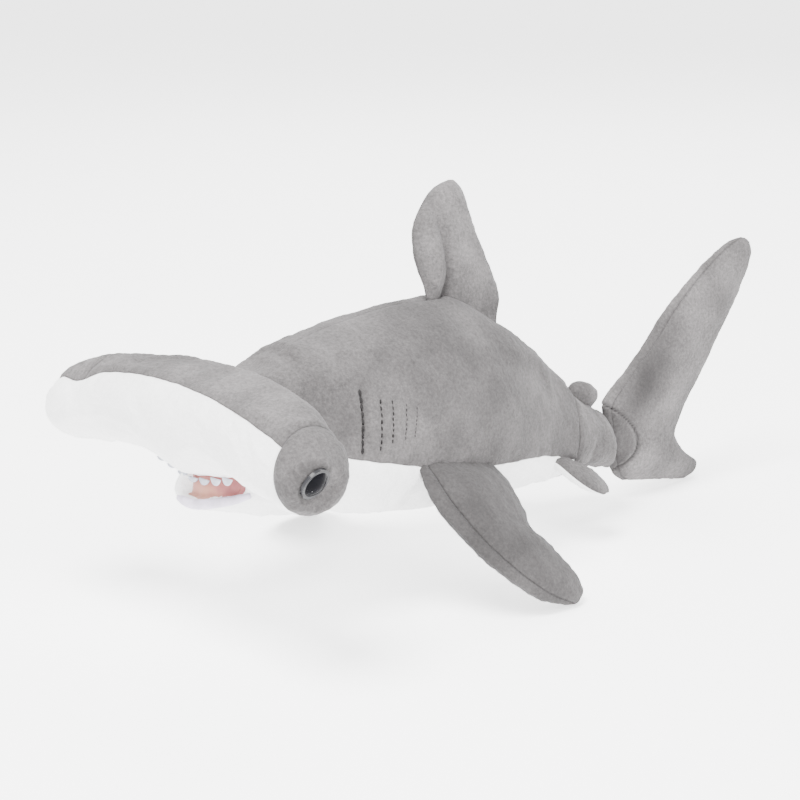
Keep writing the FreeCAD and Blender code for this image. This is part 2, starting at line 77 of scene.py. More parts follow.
RING_Y = 252.0
STEM_END_LOW, STEM_END_HIGH = np.array([0.0, 311.0, 4.0]), np.array([0.0, 298.0, 37.0])
CELL = 2.5                        # spacing of a fabric mesh before its last subdivision
SKIN_INSET = 1.2                  # room that the sections leave for the pile
JAW_Y, PINNED_ROWS, JAW_ROWS = 25.0, 18, 12

# ---- head ----
HALF, DROOP, SWEEP = 94.0, 13.0, -6.0
DEPTH, DEPTH_END, THICK, THICK_END = 24.5, 18.5, 24.0, 17.5
SNOUT_DROP, SNOUT_WIDTH, LIP_RISE, LIP_WIDTH = 8.5, 24.0, 0.085, 42.0
CAP_LEFT, CAP_RIGHT = 78.0, -60.0

# ---- fins: (leading edge), (trailing edge), half thickness, from the root to the tip ----
DORSAL_ROOT = ((0, 155, 100.5), (0, 207, 88.0))
DORSAL_TIP = (-15, 178, 151)
DORSAL = [((0, -5), (53, -5), 2.5), ((-2.5, 1), (53, 0), 3.2), ((-7, 8), (54, 7.5), 6.0),
          ((-10.5, 14), (51.5, 14), 7.0), ((-13, 22), (43.5, 23), 7.5), ((-13.5, 31), (36, 32), 7.3),
          ((-10, 40), (29.5, 40), 6.8), ((-1.5, 52), (21.5, 52.5), 5.0), ((5, 57.5), (17.5, 58.5), 3.0),
          ((9, 60), (14, 60), 1.2)]
SECOND_ROOT = ((0, 262, 53.0), (0, 277, 45.5))
SECOND_TIP = (0, 274, 62)
SECOND = [((10, -9), (25, -9), 2.4), ((8, -4), (28.5, -4), 3.8), ((7.5, 0.5), (30.5, 1), 5.8),
          ((10, 4.5), (30.5, 5), 5.8), ((15, 7.6), (26.5, 8), 3.4), ((18.5, 8.6), (23, 8.6), 1.0)]
PECTORAL_ROOT = ((47, 120, 26), (47, 185, 20))
PECTORAL_TIP = (96, 172, -31)
PECTORAL = [((-5, -6), (46, -6), 3.0), ((-6.5, 0), (48, -1), 3.6), ((-7, 8), (52, 6), 7.0),
            ((-5, 20), (52.5, 15), 8.8), ((1, 32), (53, 25), 8.8), ((7.5, 42), (51.5, 32.5), 8.6),
            ((19.5, 56), (60, 41), 8.2), ((32.5, 66), (67.5, 52.5), 6.8), ((46, 72), (71.5, 63), 4.6),
            ((57, 73.8), (70, 69.5), 2.2), ((61, 74.2), (66, 72.5), 0.9)]
PELVIC_ROOT = ((28, 228, 20), (25, 252, 15.0))
PELVIC_TIP = (40, 261, 3)
PELVIC = [((-5, -5), (20, -5), 2.0), ((-4.5, 0), (22, -1), 2.6), ((1, 6), (28, 3), 4.2),
          ((5, 12.5), (34, 7), 4.6), ((10, 18), (38.5, 12), 3.8), ((19, 22.5), (38.5, 16.5), 2.4),
          ((27, 23.2), (35.5, 20), 0.9)]
TAIL_FIN = [((322, -4), (376, -6.2), 1.4), ((313, 0), (384.5, -3), 4.0), ((308.5, 5), (386.5, 2), 6.5),
            ((303, 19), (371, 11), 8.5), ((299.5, 30), (362, 21), 9.0), ((296.5, 38.5), (366, 32), 9.0),
            ((304, 49), (371.5, 44), 8.8), ((313.5, 59), (379, 57), 8.5), ((329, 75), (390, 75.5), 8.0),
            ((339.5, 88), (397, 87), 7.4), ((361, 109), (405.5, 104), 6.0), ((384, 125.5), (411, 118), 4.5),
            ((395, 130.5), (411.5, 125), 2.8), ((401, 132), (409, 129.5), 1.0)]


def place(points):
    """Own-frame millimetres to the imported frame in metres."""
    return np.asarray(points, float) @ AXES * MM + ORIGIN


def hermite(x, values, tangent, at):
    """Every column of values at the places at, by a cubic with these tangents at x."""
    k = np.clip(np.searchsorted(x, at, side="right") - 1, 0, len(x) - 2)
    h = (x[k + 1] - x[k])[:, None]
    t = (at - x[k])[:, None] / h
    return ((2 * t ** 3 - 3 * t ** 2 + 1) * values[k] + (t ** 3 - 2 * t ** 2 + t) * h * tangent[k]
            + (3 * t ** 2 - 2 * t ** 3) * values[k + 1] + (t ** 3 - t ** 2) * h * tangent[k + 1])


def catmull(table, at):
    """Every column of table at the first column's values, by a smooth curve through the rows."""
    return hermite(table[:, 0], table[:, 1:], np.gradient(table[:, 1:], table[:, 0], axis=0), at)


def curve(table, at):
    """Every column of table at the first column's values, by a smooth monotone curve."""
    x, values = table[:, 0], table[:, 1:]
    at = np.clip(np.atleast_1d(at).astype(float), x[0], x[-1])
    step = np.diff(x)[:, None]
    slope = np.diff(values, axis=0) / step
    inner = np.where(slope[:-1] * slope[1:] > 0,
                     2 * slope[:-1] * slope[1:] / (slope[:-1] + slope[1:] + 1e-12), 0.0)
    return hermite(x, values, np.vstack([slope[:1], inner, slope[-1:]]), at)


def smoothstep(value, low, high):
    t = np.clip((value - low) / (high - low), 0, 1)
    return t * t * (3 - 2 * t)


def waves(points, scale, count=9, seed=1):
    """A smooth random field from -1 to 1 with bumps about scale wide."""
    rng = np.random.default_rng(seed)
    directions = rng.normal(size=(count, 3))
    directions /= np.linalg.norm(directions, axis=1)[:, None]
    rates = 2 * math.pi / scale * rng.uniform(0.6, 1.3, count)
    phases = rng.uniform(0, 2 * math.pi, count)
    return np.sin(points @ (directions * rates[:, None]).T + phases).sum(1) / math.sqrt(count)


# ---- fabric shells: one closed mesh per stuffed piece, cut into its panels at the end ----
class Shell:
    """Vertices in own-frame millimetres, quads, a panel number for each, and pinned points."""

    def __init__(self):
        self.points, self.faces, self.panels = [], [], []
        self.pins, self.seams = set(), []        # a seam: its vertices and how much it shows

    def add(self, points):
        first = len(self.points)
        self.points.extend(points)
        return first

    def strip(self, row_a, row_b, panels):
        """Quads between two rows of vertex numbers."""
        for k, panel in enumerate(panels):
            self.faces.append((row_a[k], row_a[k + 1], row_b[k + 1], row_b[k]))
            self.panels.append(panel)

    def fan(self, row, pole, panels):
        for k, panel in enumerate(panels):
            self.faces.append((row[k], row[k + 1], pole))
            self.panels.append(panel)

    def seam(self, numbers, shows=0.5, pinned=True):
        """A sewn line through these vertices, which shows from 0, lost in the pile, to 1: it sets how deep the
        line sinks and how much painted shade it gets.
        """
        if pinned:
            self.pins.update(numbers)
        self.seams.append((list(numbers), shows))


def outward(shell):
    """Turns every face round if the shell is wound inside out."""
    volume = 0.0
    for face in shell.faces:
        first, *others = (shell.points[v] for v in face)
        for b, c in zip(others, others[1:]):
            volume += np.dot(first, np.cross(b, c))
    if volume < 0:
        shell.faces = [face[::-1] for face in shell.faces]


def shell_object(name, shell):
    outward(shell)
    mesh = bpy.data.meshes.new(name)
    mesh.from_pydata(place(shell.points).tolist(), [], shell.faces)
    names = sorted(set(shell.panels))
    for _ in names:
        mesh.materials.append(None)
    mesh.polygons.foreach_set("material_index", [names.index(p) for p in shell.panels])
    mesh.update()
    shell.names = names
    return linked(name, mesh)


def linked(name, data):
    """A new object with this data, in the scene."""
    obj = bpy.data.objects.new(name, data)
    bpy.context.scene.collection.objects.link(obj)
    return obj


def coordinates(mesh):
    flat = np.zeros(len(mesh.vertices) * 3)
    mesh.vertices.foreach_get("co", flat)
    return flat.reshape(-1, 3)


# Pressure, share by which the fabric is larger than its pattern, and the most a point may move.
# The body and head are moved mainly by the larger fabric, and many of their points reach the
# limit. The fins have none of it: pressure alone moves them by under 0.15 mm, so the fins'
# padded shape comes from their stations.
BODY_PRESSURE, BODY_EASE, BODY_CAP = 3.0, 0.03, 2.2
FIN_PRESSURE, FIN_EASE = 2.0, 0.0


def inflate(obj, pins, pressure, cap, ease):
    """A cloth run with pressure inside; no point moves over cap mm."""
    scene = bpy.context.scene
    group = obj.vertex_groups.new(name="sewn")
    group.add(sorted(int(v) for v in pins), 1.0, "REPLACE")
    cloth = obj.modifiers.new("Cloth", "CLOTH")
    cloth.settings.quality = 5
    cloth.settings.mass = 0.25
    cloth.settings.tension_stiffness = 14
    cloth.settings.compression_stiffness = 14
    cloth.settings.shear_stiffness = 5
    cloth.settings.bending_stiffness = 0.08
    cloth.settings.use_pressure = True
    cloth.settings.uniform_pressure_force = pressure
    cloth.settings.shrink_min = -ease
    cloth.settings.vertex_group_mass = "sewn"
    cloth.settings.effector_weights.gravity = 0
    cloth.collision_settings.use_collision = False
    cloth.collision_settings.use_self_collision = False
    cloth.point_cache.frame_end = 20
    for step in range(1, 21):
        scene.frame_set(step)
    evaluated = obj.evaluated_get(bpy.context.evaluated_depsgraph_get())
    moved, rest = coordinates(evaluated.data), coordinates(obj.data)
    shift = moved - rest
    length = np.linalg.norm(shift, axis=1)[:, None] + 1e-9
    shift *= np.minimum(1, cap * MM / length)
    obj.modifiers.remove(cloth)
    obj.data.vertices.foreach_set("co", (rest + shift).ravel())
    obj.data.update()
    scene.frame_set(1)


def subdivided(obj, levels=1):
    """Replaces the object's mesh by its smooth subdivision."""
    surf = obj.modifiers.new("Surf", "SUBSURF")
    surf.levels = levels
    surf.subdivision_type = "CATMULL_CLARK"
    depsgraph = bpy.context.evaluated_depsgraph_get()
    mesh = bpy.data.meshes.new_from_object(obj.evaluated_get(depsgraph))
    obj.modifiers.remove(surf)
    old = obj.data
    obj.data = mesh
    bpy.data.meshes.remove(old)


def own(mesh):
    """Vertex places of a mesh, back in own-frame millimetres."""
    return (coordinates(mesh) - ORIGIN) @ AXES.T / MM


def normals(mesh):
    flat = np.zeros(len(mesh.vertices) * 3)
    mesh.vertex_normals.foreach_get("vector", flat)
    return flat.reshape(-1, 3) @ AXES.T


def seam_distance(shell, rest, points):
    """For each point: distance to the nearest sewn line, how far along it, how much it shows."""
    line, along, shown = [], [], []
    for numbers, shows in shell.seams:
        places = rest[numbers]
        run = 0.0
        for a, b in zip(places, places[1:]):
            length = np.linalg.norm(b - a)
            for t in (0.0, 0.25, 0.5, 0.75):
                line.append(a + (b - a) * t)
                along.append(run + t * length)
                shown.append(shows)
            run += length
    tree = KDTree(len(line))
    for k, spot in enumerate(line):
        tree.insert(spot, k)
    tree.balance()
    found = [tree.find(p) for p in points]
    numbers = [f[1] for f in found]
    return np.array([f[2] for f in found]), np.array(along)[numbers], np.array(shown)[numbers]


def plush_relief(points, seed):
    """Uneven pile and stuffing: soft lumps, and tufts about 2 mm across."""
    return (0.38 * waves(points, 34, seed=seed) + 0.16 * waves(points, 11, seed=seed + 1)
            + 0.10 * waves(points, 4.2, seed=seed + 2) + 0.07 * waves(points, 2.2, seed=seed + 3))


def finish_shell(obj, shell, rest, seed, depth=1.5, width=2.2, pucker=0.22, extra=None, dent=None):
    """Subdivides, dents, sinks the seams, adds puckers and pile, and stores painted shade at the seams and in the
    hollows as the seam attribute.
    """
    subdivided(obj)
    mesh = obj.data
    if dent is not None:
        points = own(mesh)
        mesh.vertices.foreach_set("co", place(points + dent(points)).ravel())
        mesh.update()
    points, out = own(mesh), normals(mesh)
    gap, along, shown = seam_distance(shell, rest, points)
    gather = np.sin(along * 2 * math.pi / 7.5 + 1.5 * np.sin(along / 9.0))
    sink = -depth * (0.3 + 0.7 * shown) * np.exp(-(gap / width) ** 2)
    sink += (0.3 * depth + pucker * gather) * shown * np.exp(-((gap - 4.5) / 3.2) ** 2)
    sink += plush_relief(points, seed) * smoothstep(gap, 0.0, 4.0)
    # Painted shade: dark on each seam line as far as it shows, and a faint wider band of painted shade beside
    # every seam; extra adds the piece's own painted shade.
    painted_shade = np.maximum(shown * np.exp(-(gap / 0.9) ** 2), 0.16 * np.exp(-(gap / 5.0) ** 2))
    if extra is not None:
        more, dark = extra(points, out)
        sink += more
        painted_shade = np.maximum(painted_shade, dark)
    mesh.vertices.foreach_set("co", place(points + out * sink[:, None]).ravel())
    seam = mesh.attributes.new("seam", "FLOAT", "POINT")
    seam.data.foreach_set("value", painted_shade.astype(np.float32))
    mesh.update()


FABRIC = 1.3                      # thickness of a panel, pile and backing


def closed_faces(faces, count):
    """Faces of a closed sheet: these, the same ones on its inner side, and its rim. The inner
    side's points follow the outer side's, count of them."""
    edges = {(a, b) for f in faces for a, b in zip(f, f[1:] + f[:1])}
    rim = [(b, a, count + a, count + b) for a, b in sorted(edges) if (b, a) not in edges]
    return faces + [tuple(count + v for v in reversed(f)) for f in faces] + rim


def panels(obj, shell, room=None, hidden=None):
    """Cuts the shell into one closed piece of fabric per panel. Returns {panel: object}.

    room gives how deep the fabric may be at each point, and hidden which points are left out."""
    mesh = obj.data
    places = coordinates(mesh)
    points = own(mesh)
    depth = np.minimum(FABRIC, room(points)) if room else np.full(len(points), FABRIC)
    gone = hidden(points) if hidden else np.zeros(len(points), bool)
    inner = place(points - normals(mesh) * depth[:, None])
    painted_shade = np.zeros(len(mesh.vertices), np.float32)
    mesh.attributes["seam"].data.foreach_get("value", painted_shade)
    number = np.zeros(len(mesh.polygons), int)
    mesh.polygons.foreach_get("material_index", number)
    corners = [tuple(p.vertices) for p in mesh.polygons]
    made = {}
    for k, name in enumerate(shell.names):
        faces = [corners[f] for f in np.nonzero(number == k)[0] if not gone[list(corners[f])].all()]
        used = sorted({v for f in faces for v in f})
        new = {v: n for n, v in enumerate(used)}
        outer = [tuple(new[v] for v in f) for f in faces]
        count = len(used)
        piece = bpy.data.meshes.new(name)
        piece.from_pydata(np.vstack([places[used], inner[used]]).tolist(), [],
                          closed_faces(outer, count))
        piece.polygons.foreach_set("use_smooth", [True] * len(piece.polygons))
        seam = piece.attributes.new("seam", "FLOAT", "POINT")
        seam.data.foreach_set("value", np.concatenate([painted_shade[used], painted_shade[used]]))
        piece.update()
        made[name] = linked(name, piece)
    bpy.data.objects.remove(obj)
    return made


def filling(name, obj, inset, ahead=None):
    """The stuffing inside a shell: the same surface, inset by so much at each point."""
    mesh = obj.data.copy()
    mesh.name = name
    points, out = own(mesh), normals(mesh)
    inner = points - out * inset(points)[:, None]
    if ahead:
        inner[:, 1] -= ahead(points)
    mesh.vertices.foreach_set("co", place(inner).ravel())
    mesh.update()
    return linked(name, mesh)


# ---- trunk ----
def section(y, angle, inset=0.0):
    """A point of the body's surface: angle 0 is the left side, 90 degrees the spine."""
    half, top, widest, bottom = curve(BODY, y)[0]
    s, c = np.sin(angle), np.cos(angle)
    power = np.where(s >= 0, 2 / POWER_UP, 2 / POWER_DOWN)
    rise = np.where(s >= 0, top - widest, widest - bottom) - inset
    return np.stack([(half - inset) * np.sign(c) * np.abs(c) ** power,
                     np.full_like(angle, y), widest + rise * np.sign(s) * np.abs(s) ** power], 1)


def seam_angle(y):
    """The angle of the grey and white seam at y."""
    _, top, widest, bottom = curve(BODY, y)[0]
    z = curve(BELLY_SEAM, y)[0, 0]
    up = z >= widest
    share = min(0.97, abs(z - widest) / (top - widest if up else widest - bottom))
    power = (POWER_UP if up else POWER_DOWN) / 2
    angle = math.asin(min(1.0, share ** power))
    return min(angle if up else -angle, math.radians(84))


BACK_CELLS, BELLY_CELLS = 34, 46
JAW_ROUND, STEM_REACH, STEM_TUCK = 9.5, 299.5, 5.0


def ring_angles(y):
    low = seam_angle(y)
    left = np.linspace(low, math.pi / 2, BACK_CELLS + 1)
    right = np.linspace(math.pi / 2, math.pi - low, BACK_CELLS + 1)
    belly = np.linspace(math.pi - low, 2 * math.pi + low, BELLY_CELLS + 1)
    return np.concatenate([left[:-1], right[:-1], belly[:-1]])


def stem_ring(y, share):
    """Past the ring seam the section closes onto the tail fin's slanting root."""
    angles = ring_angles(min(y, 303.0))
    body = section(y, angles, SKIN_INSET)
    middle = (STEM_END_LOW + STEM_END_HIGH) / 2
    reach = (STEM_END_HIGH - STEM_END_LOW) / 2
    middle = middle - np.array([0.0, STEM_TUCK, 0.0])
    end = (middle + np.sin(angles)[:, None] * reach
           + np.cos(angles)[:, None] * np.array([9.0, 0.0, 0.0]))
    body[:, 1] += (body[:, 2] - 20.0) * -0.38 * share
    fold = smoothstep(share, 0.86, 1.0)
    return body * (1 - fold) + end * fold


MOUTH_HALF, MOUTH_FAR, MOUTH_DEPTH, MOUTH_TOP = 22.0, -7.0, 6.0, 27.0


def lip_height(x):
    """The lower lip's edge: lowest in the middle, and up to the corners of the mouth."""
    return 7.0 + 6.3 * (np.abs(x) / MOUTH_HALF) ** 2.2


def trunk_shell():
    shell = Shell()
    first = section(JAW_Y, ring_angles(JAW_Y), SKIN_INSET)
    middle = np.array([0.0, JAW_Y, 12.0])
    rows = []
    for share in (0.1, 0.2, 0.3, 0.4, 0.5, 0.6, 0.7, 0.8, 0.88, 0.95):
        ring = middle + (first - middle) * share
        ring[:, 1] = JAW_Y - JAW_ROUND * (1 - share ** 2.6) ** (1 / 2.6)
        rows.append(ring)
    ys = np.linspace(JAW_Y, RING_Y, int((RING_Y - JAW_Y) / CELL) + 1)
    rows += [section(y, ring_angles(y), SKIN_INSET) for y in ys]
    ring_row = len(rows) - 1
    shares = np.linspace(0, 1, 24)[1:]
    rows += [stem_ring(RING_Y + (STEM_REACH - RING_Y) * s, s) for s in shares]
    count = len(rows[0])
    numbers = [shell.add(r) + np.arange(count) for r in rows]
    numbers = [np.append(n, n[0]) for n in numbers]
    sides = (["back_panel_left"] * BACK_CELLS + ["back_panel_right"] * BACK_CELLS
             + ["belly_panel"] * BELLY_CELLS)
    for i, (a, b) in enumerate(zip(numbers, numbers[1:])):
        jaw = i < JAW_ROWS
        shell.strip(a, b, ["stem_panel"] * count if i >= ring_row else
                    ["belly_panel"] * count if jaw else sides)
    pole = shell.add([middle - np.array([0, JAW_ROUND, 0])])
    shell.fan(numbers[0][::-1], pole, ["belly_panel"] * count)
    pole = shell.add([(STEM_END_LOW + STEM_END_HIGH) / 2 - np.array([0.0, STEM_TUCK, 0.0])])
    shell.fan(numbers[-1], pole, ["stem_panel"] * count)
    shell.points = np.array(shell.points)
    for column in (0, 2 * BACK_CELLS):
        shell.seam([n[column] for n in numbers[PINNED_ROWS:ring_row + 1]], 0.55)
    shell.seam([n[BACK_CELLS] for n in numbers[PINNED_ROWS:ring_row + 1]], 0.12, pinned=False)
    shell.seam(list(numbers[ring_row]), 0.6)
    shell.pins.update(v for n in numbers[:PINNED_ROWS] for v in n)
    shell.pins.update(v for n in numbers[-4:] for v in n)
    return shell


GILL_YS = (83.5, 92.5, 98.5, 105.5, 111.0)      # y of each gill line at its middle
GILL_SLANT = 3.0                                # how much further back its top is
GILL_TOPS = (60.5, 57.5, 57.0, 55.5, 54.0)
GILL_BOTTOMS = (32.5, 34.0, 37.5, 39.0, 40.0)
GILL_TUCKS = (1.5, 1.15, 1.0, 0.7, 0.45)        # how deep the fabric is drawn in, roughly
# The near-black gill threads are real stitching and also stand in for the shade in each tuck's groove, thicker
# where the line shows darker.
GILL_THREADS = (0.80, 0.50, 0.42, 0.26, 0.22)   # radius of the thread that shows


def gill_place(k, share):
    """y and height on gill line k, from its bottom at share 0 to its top at 1."""
    low, high = GILL_BOTTOMS[k], GILL_TOPS[k]
    return GILL_YS[k] + GILL_SLANT * (share - 0.5), low + (high - low) * share


def gill_tucks(points):
    """The fabric is drawn in along each gill line and swells between them; each line's groove gets painted shade.
    """
    more, dark = np.zeros(len(points)), np.zeros(len(points))
    side = np.abs(points[:, 0]) > 20
    for k, tuck in enumerate(GILL_TUCKS):
        low, high = GILL_BOTTOMS[k], GILL_TOPS[k]
        share = (points[:, 2] - low) / (high - low)
        within = side * smoothstep(share, -0.12, 0.06) * (1 - smoothstep(share, 0.94, 1.12))
        gap = points[:, 1] - GILL_YS[k] - GILL_SLANT * (share - 0.5)
        more += tuck * within * (0.55 * np.exp(-((np.abs(gap) - 3.2) / 1.7) ** 2)
                                 - 1.1 * np.exp(-(gap / 1.4) ** 2))
        dark = np.maximum(dark, 0.35 * tuck * within * np.exp(-(gap / 0.9) ** 2))
    return more, dark


def mouth_mask(points):
    """1 in the mouth's pocket, 0 outside it."""
    x, y, z = points.T
    return (smoothstep(z - lip_height(x), -0.4, 2.6) * (1 - smoothstep(x, 17.0, MOUTH_HALF + 1))
            * smoothstep(x, MOUTH_FAR - 1, MOUTH_FAR + 5)
            * (1 - smoothstep(z, MOUTH_TOP - 1, MOUTH_TOP + 3)) * (y < 44))


def mouth_dent(points):
    return np.outer(MOUTH_DEPTH * mouth_mask(points), [0.0, 1.0, 0.0])


def trunk_detail(points, out):
    more, dark = gill_tucks(points)
    x, y, z = points.T
    jaw = (y < 34) * (1 - smoothstep(np.abs(x), 9, 15))
    for drop, wobble in ((3.4, 0.5), (5.2, 0.9)):
        crease = z - lip_height(x) + drop + wobble * np.sin(x / 4)
        more -= 0.6 * jaw * np.exp(-(crease / 0.8) ** 2)
    stem = smoothstep(y, RING_Y, RING_Y + 4)
    more += 0.13 * stem * np.sin(y * 2 * math.pi / 2.7 + 0.6 * np.sin(z / 5))
    # Painted shade where the stem's end tucks into the tail fin, painted shadow of the hammer on the sides behind
    # the head, and the whole trunk at least 0.3 dark.
    rim = smoothstep(y - 0.36 * (20 - z), 300.5, 303.5)
    painted_shadow_behind_head = 0.34 * np.exp(-((y - 80.0) / 34.0) ** 2 - ((z - 50.0) / 26.0) ** 2)
    return more, np.maximum.reduce([dark, 0.7 * rim, painted_shadow_behind_head, np.full(len(points), 0.3)])


# ---- head ----
def head_centre(x):
    t = np.abs(x) / HALF
    return np.stack([x, HEAD_CENTRE[1] + SWEEP * t ** 2, HEAD_CENTRE[2] - DROOP * t ** 2.2], -1)


def white_top(x):
    """Angle of the white panel's upper seam above the front, in degrees."""
    table = np.array([(-94.0, 46.0), (-86.0, 45.0), (-62.0, 27.0), (-52.0, 39.0), (-20.0, 42.0),
                      (20.0, 39.0), (60.0, 34.0), (94.0, 31.0)])
    return curve(table, x)[0, 0]


FRONT_CELLS, TOP_CELLS, WHITE_BOTTOM = 34, 40, -112.0


def head_below(x, thick):
    """How far the hammer reaches below its middle: least over the mouth's corners."""
    hollow = LIP_RISE * math.exp(-(x / LIP_WIDTH) ** 4)
    return thick * (1 - hollow) + SNOUT_DROP * math.exp(-(x / SNOUT_WIDTH) ** 2)


def head_ring(x, inset=SKIN_INSET):
    t = min(1.0, abs(x) / HALF)
    depth = DEPTH + (DEPTH_END - DEPTH) * t ** 3
    thick = THICK + (THICK_END - THICK) * t ** 3
    from_end = HALF - abs(x)
    if from_end < THICK_END:
        rounding = max(0.02, (1 - (1 - max(from_end, 0) / THICK_END) ** 2.3)) ** (1 / 2.3)
        depth, thick = depth * rounding, thick * rounding
        inset *= rounding
    lower = head_below(x, thick)
    top = white_top(x)
    degrees = np.concatenate([np.linspace(top, WHITE_BOTTOM, FRONT_CELLS + 1)[:-1],
                              np.linspace(WHITE_BOTTOM, top - 360.0, TOP_CELLS + 1)[:-1]])
    a = np.radians(degrees)
    rise = np.where(np.sin(a) >= 0, thick, lower)
    radius = 1 / np.hypot(np.cos(a) / depth, np.sin(a) / rise) - inset
    return head_centre(np.array(x)) + np.stack([np.zeros_like(a), -radius * np.cos(a), radius * np.sin(a)], 1)


def head_shell():
    shell = Shell()
    straight = HALF - THICK_END
    right = list(-straight - THICK_END * np.sin(np.linspace(math.pi / 2 * 0.93, 0, 11)))[:-1]
    middle = np.concatenate([np.linspace(-straight, CAP_RIGHT, 8)[:-1],
                             np.linspace(CAP_RIGHT, straight, 56)])
    left = list(straight + THICK_END * np.sin(np.linspace(0, math.pi / 2 * 0.93, 11)))[1:]
    xs = np.array(right + list(middle) + left)
    cap_left = int(np.argmin(np.abs(xs - CAP_LEFT)))
    xs[cap_left] = CAP_LEFT
    cap_right = int(np.argmin(np.abs(xs - CAP_RIGHT)))
    rows = [head_ring(x) for x in xs]
    count = len(rows[0])
    numbers = [shell.add(r) + np.arange(count) for r in rows]
    numbers = [np.append(n, n[0]) for n in numbers]
    for i, (a, b) in enumerate(zip(numbers, numbers[1:])):
        names = []
        for k in range(count):
            if i >= cap_left:
                names.append("hammer_cap_cloth_left")
            elif k < FRONT_CELLS:
                names.append("hammer_front_panel")
            elif i < cap_right:
                names.append("hammer_cap_cloth_right")
            else:
                names.append("hammer_top_panel")
        shell.strip(a, b, names)
    pole = shell.add([head_centre(np.array(-HALF)), head_centre(np.array(HALF))])
    names = ["hammer_front_panel"] * FRONT_CELLS + ["hammer_cap_cloth_right"] * TOP_CELLS
    shell.fan(numbers[0][::-1], pole, names[::-1])
    shell.fan(numbers[-1], pole + 1, ["hammer_cap_cloth_left"] * count)
    shell.points = np.array(shell.points)
    shell.seam([n[0] for n in numbers[:cap_left + 1]], 0.45)
    shell.seam([n[FRONT_CELLS] for n in numbers[:cap_left + 1]], 0.45)
    shell.seam(list(numbers[cap_left]), 0.3)
    shell.seam(list(numbers[cap_right][FRONT_CELLS:]), 0.3)
    return shell


EYES = {"left": ((92.1, 7.2, 35.0), (0.90, 0.13, -0.42)),
        "right": ((-92.2, 13.0, 32.0), (-0.93, 0.12, -0.35))}
RIM_RADIUS = 7.5


def eye_nearness(points):
    """1 at each eye, 0 a little way from it."""
    gaps = [np.linalg.norm(points - np.array(centre), axis=1) for centre, _ in EYES.values()]
    return 1 - smoothstep(np.minimum(*gaps), 9.0, 17.0)


def eye_rings(points):
    """For each eye: its direction, and each point's height over its plane and radius from it."""
    for centre, direction in EYES.values():
        direction = np.array(direction) / np.linalg.norm(direction)
        rel = points - np.array(centre)
        height = rel @ direction
        yield direction, height, np.linalg.norm(rel - height[:, None] * direction, axis=1)


def eye_dent(points):
    """Each eye is pulled in by its washer, so the fabric lies flat under its rim."""
    shift = np.zeros((len(points), 3))
    for direction, height, radius in eye_rings(points):
        near = ((1 - smoothstep(radius, RIM_RADIUS, RIM_RADIUS + 8.0))
                * (1 - smoothstep(np.abs(height), 6.0, 13.0)))
        shift += np.outer(near * (-0.5 - height), direction)
    return shift


def head_detail(points, out):
    more, dark = np.zeros(len(points)), np.zeros(len(points))
    for _, height, radius in eye_rings(points):
        close = np.abs(height) < 6
        more += 0.5 * np.exp(-((radius - RIM_RADIUS - 2.6) / 1.8) ** 2) * close
        # Painted shade in a ring where the fabric meets the eye's rim.
        dark = np.maximum(dark, 0.5 * np.exp(-((radius - RIM_RADIUS) / 1.2) ** 2) * close)
    return more, dark


# ---- fins ----
class FinPlane:
    """Places in a fin's own plane: along its root, out from it, and off its middle plane."""

    def __init__(self, root, tip, mirror=False):
        start, end, tip = (np.array(p, float) for p in (*root, tip))
        self.start = start
        self.along = (end - start) / np.linalg.norm(end - start)
        out = tip - start
        out -= self.along * (out @ self.along)
        self.out = out / np.linalg.norm(out)
        self.normal = np.cross(self.along, self.out)
        if mirror:
            flip = np.array([-1, 1, 1])
            self.start, self.along, self.out = self.start * flip, self.along * flip, self.out * flip
            self.normal = self.normal * flip
        self.mirror = mirror

    def at(self, along, out, off=0.0):
        return self.start + self.along * along + self.out * out + self.normal * off

    def local(self, points):
        rel = points - self.start
        return rel @ self.along, rel @ self.out, rel @ self.normal


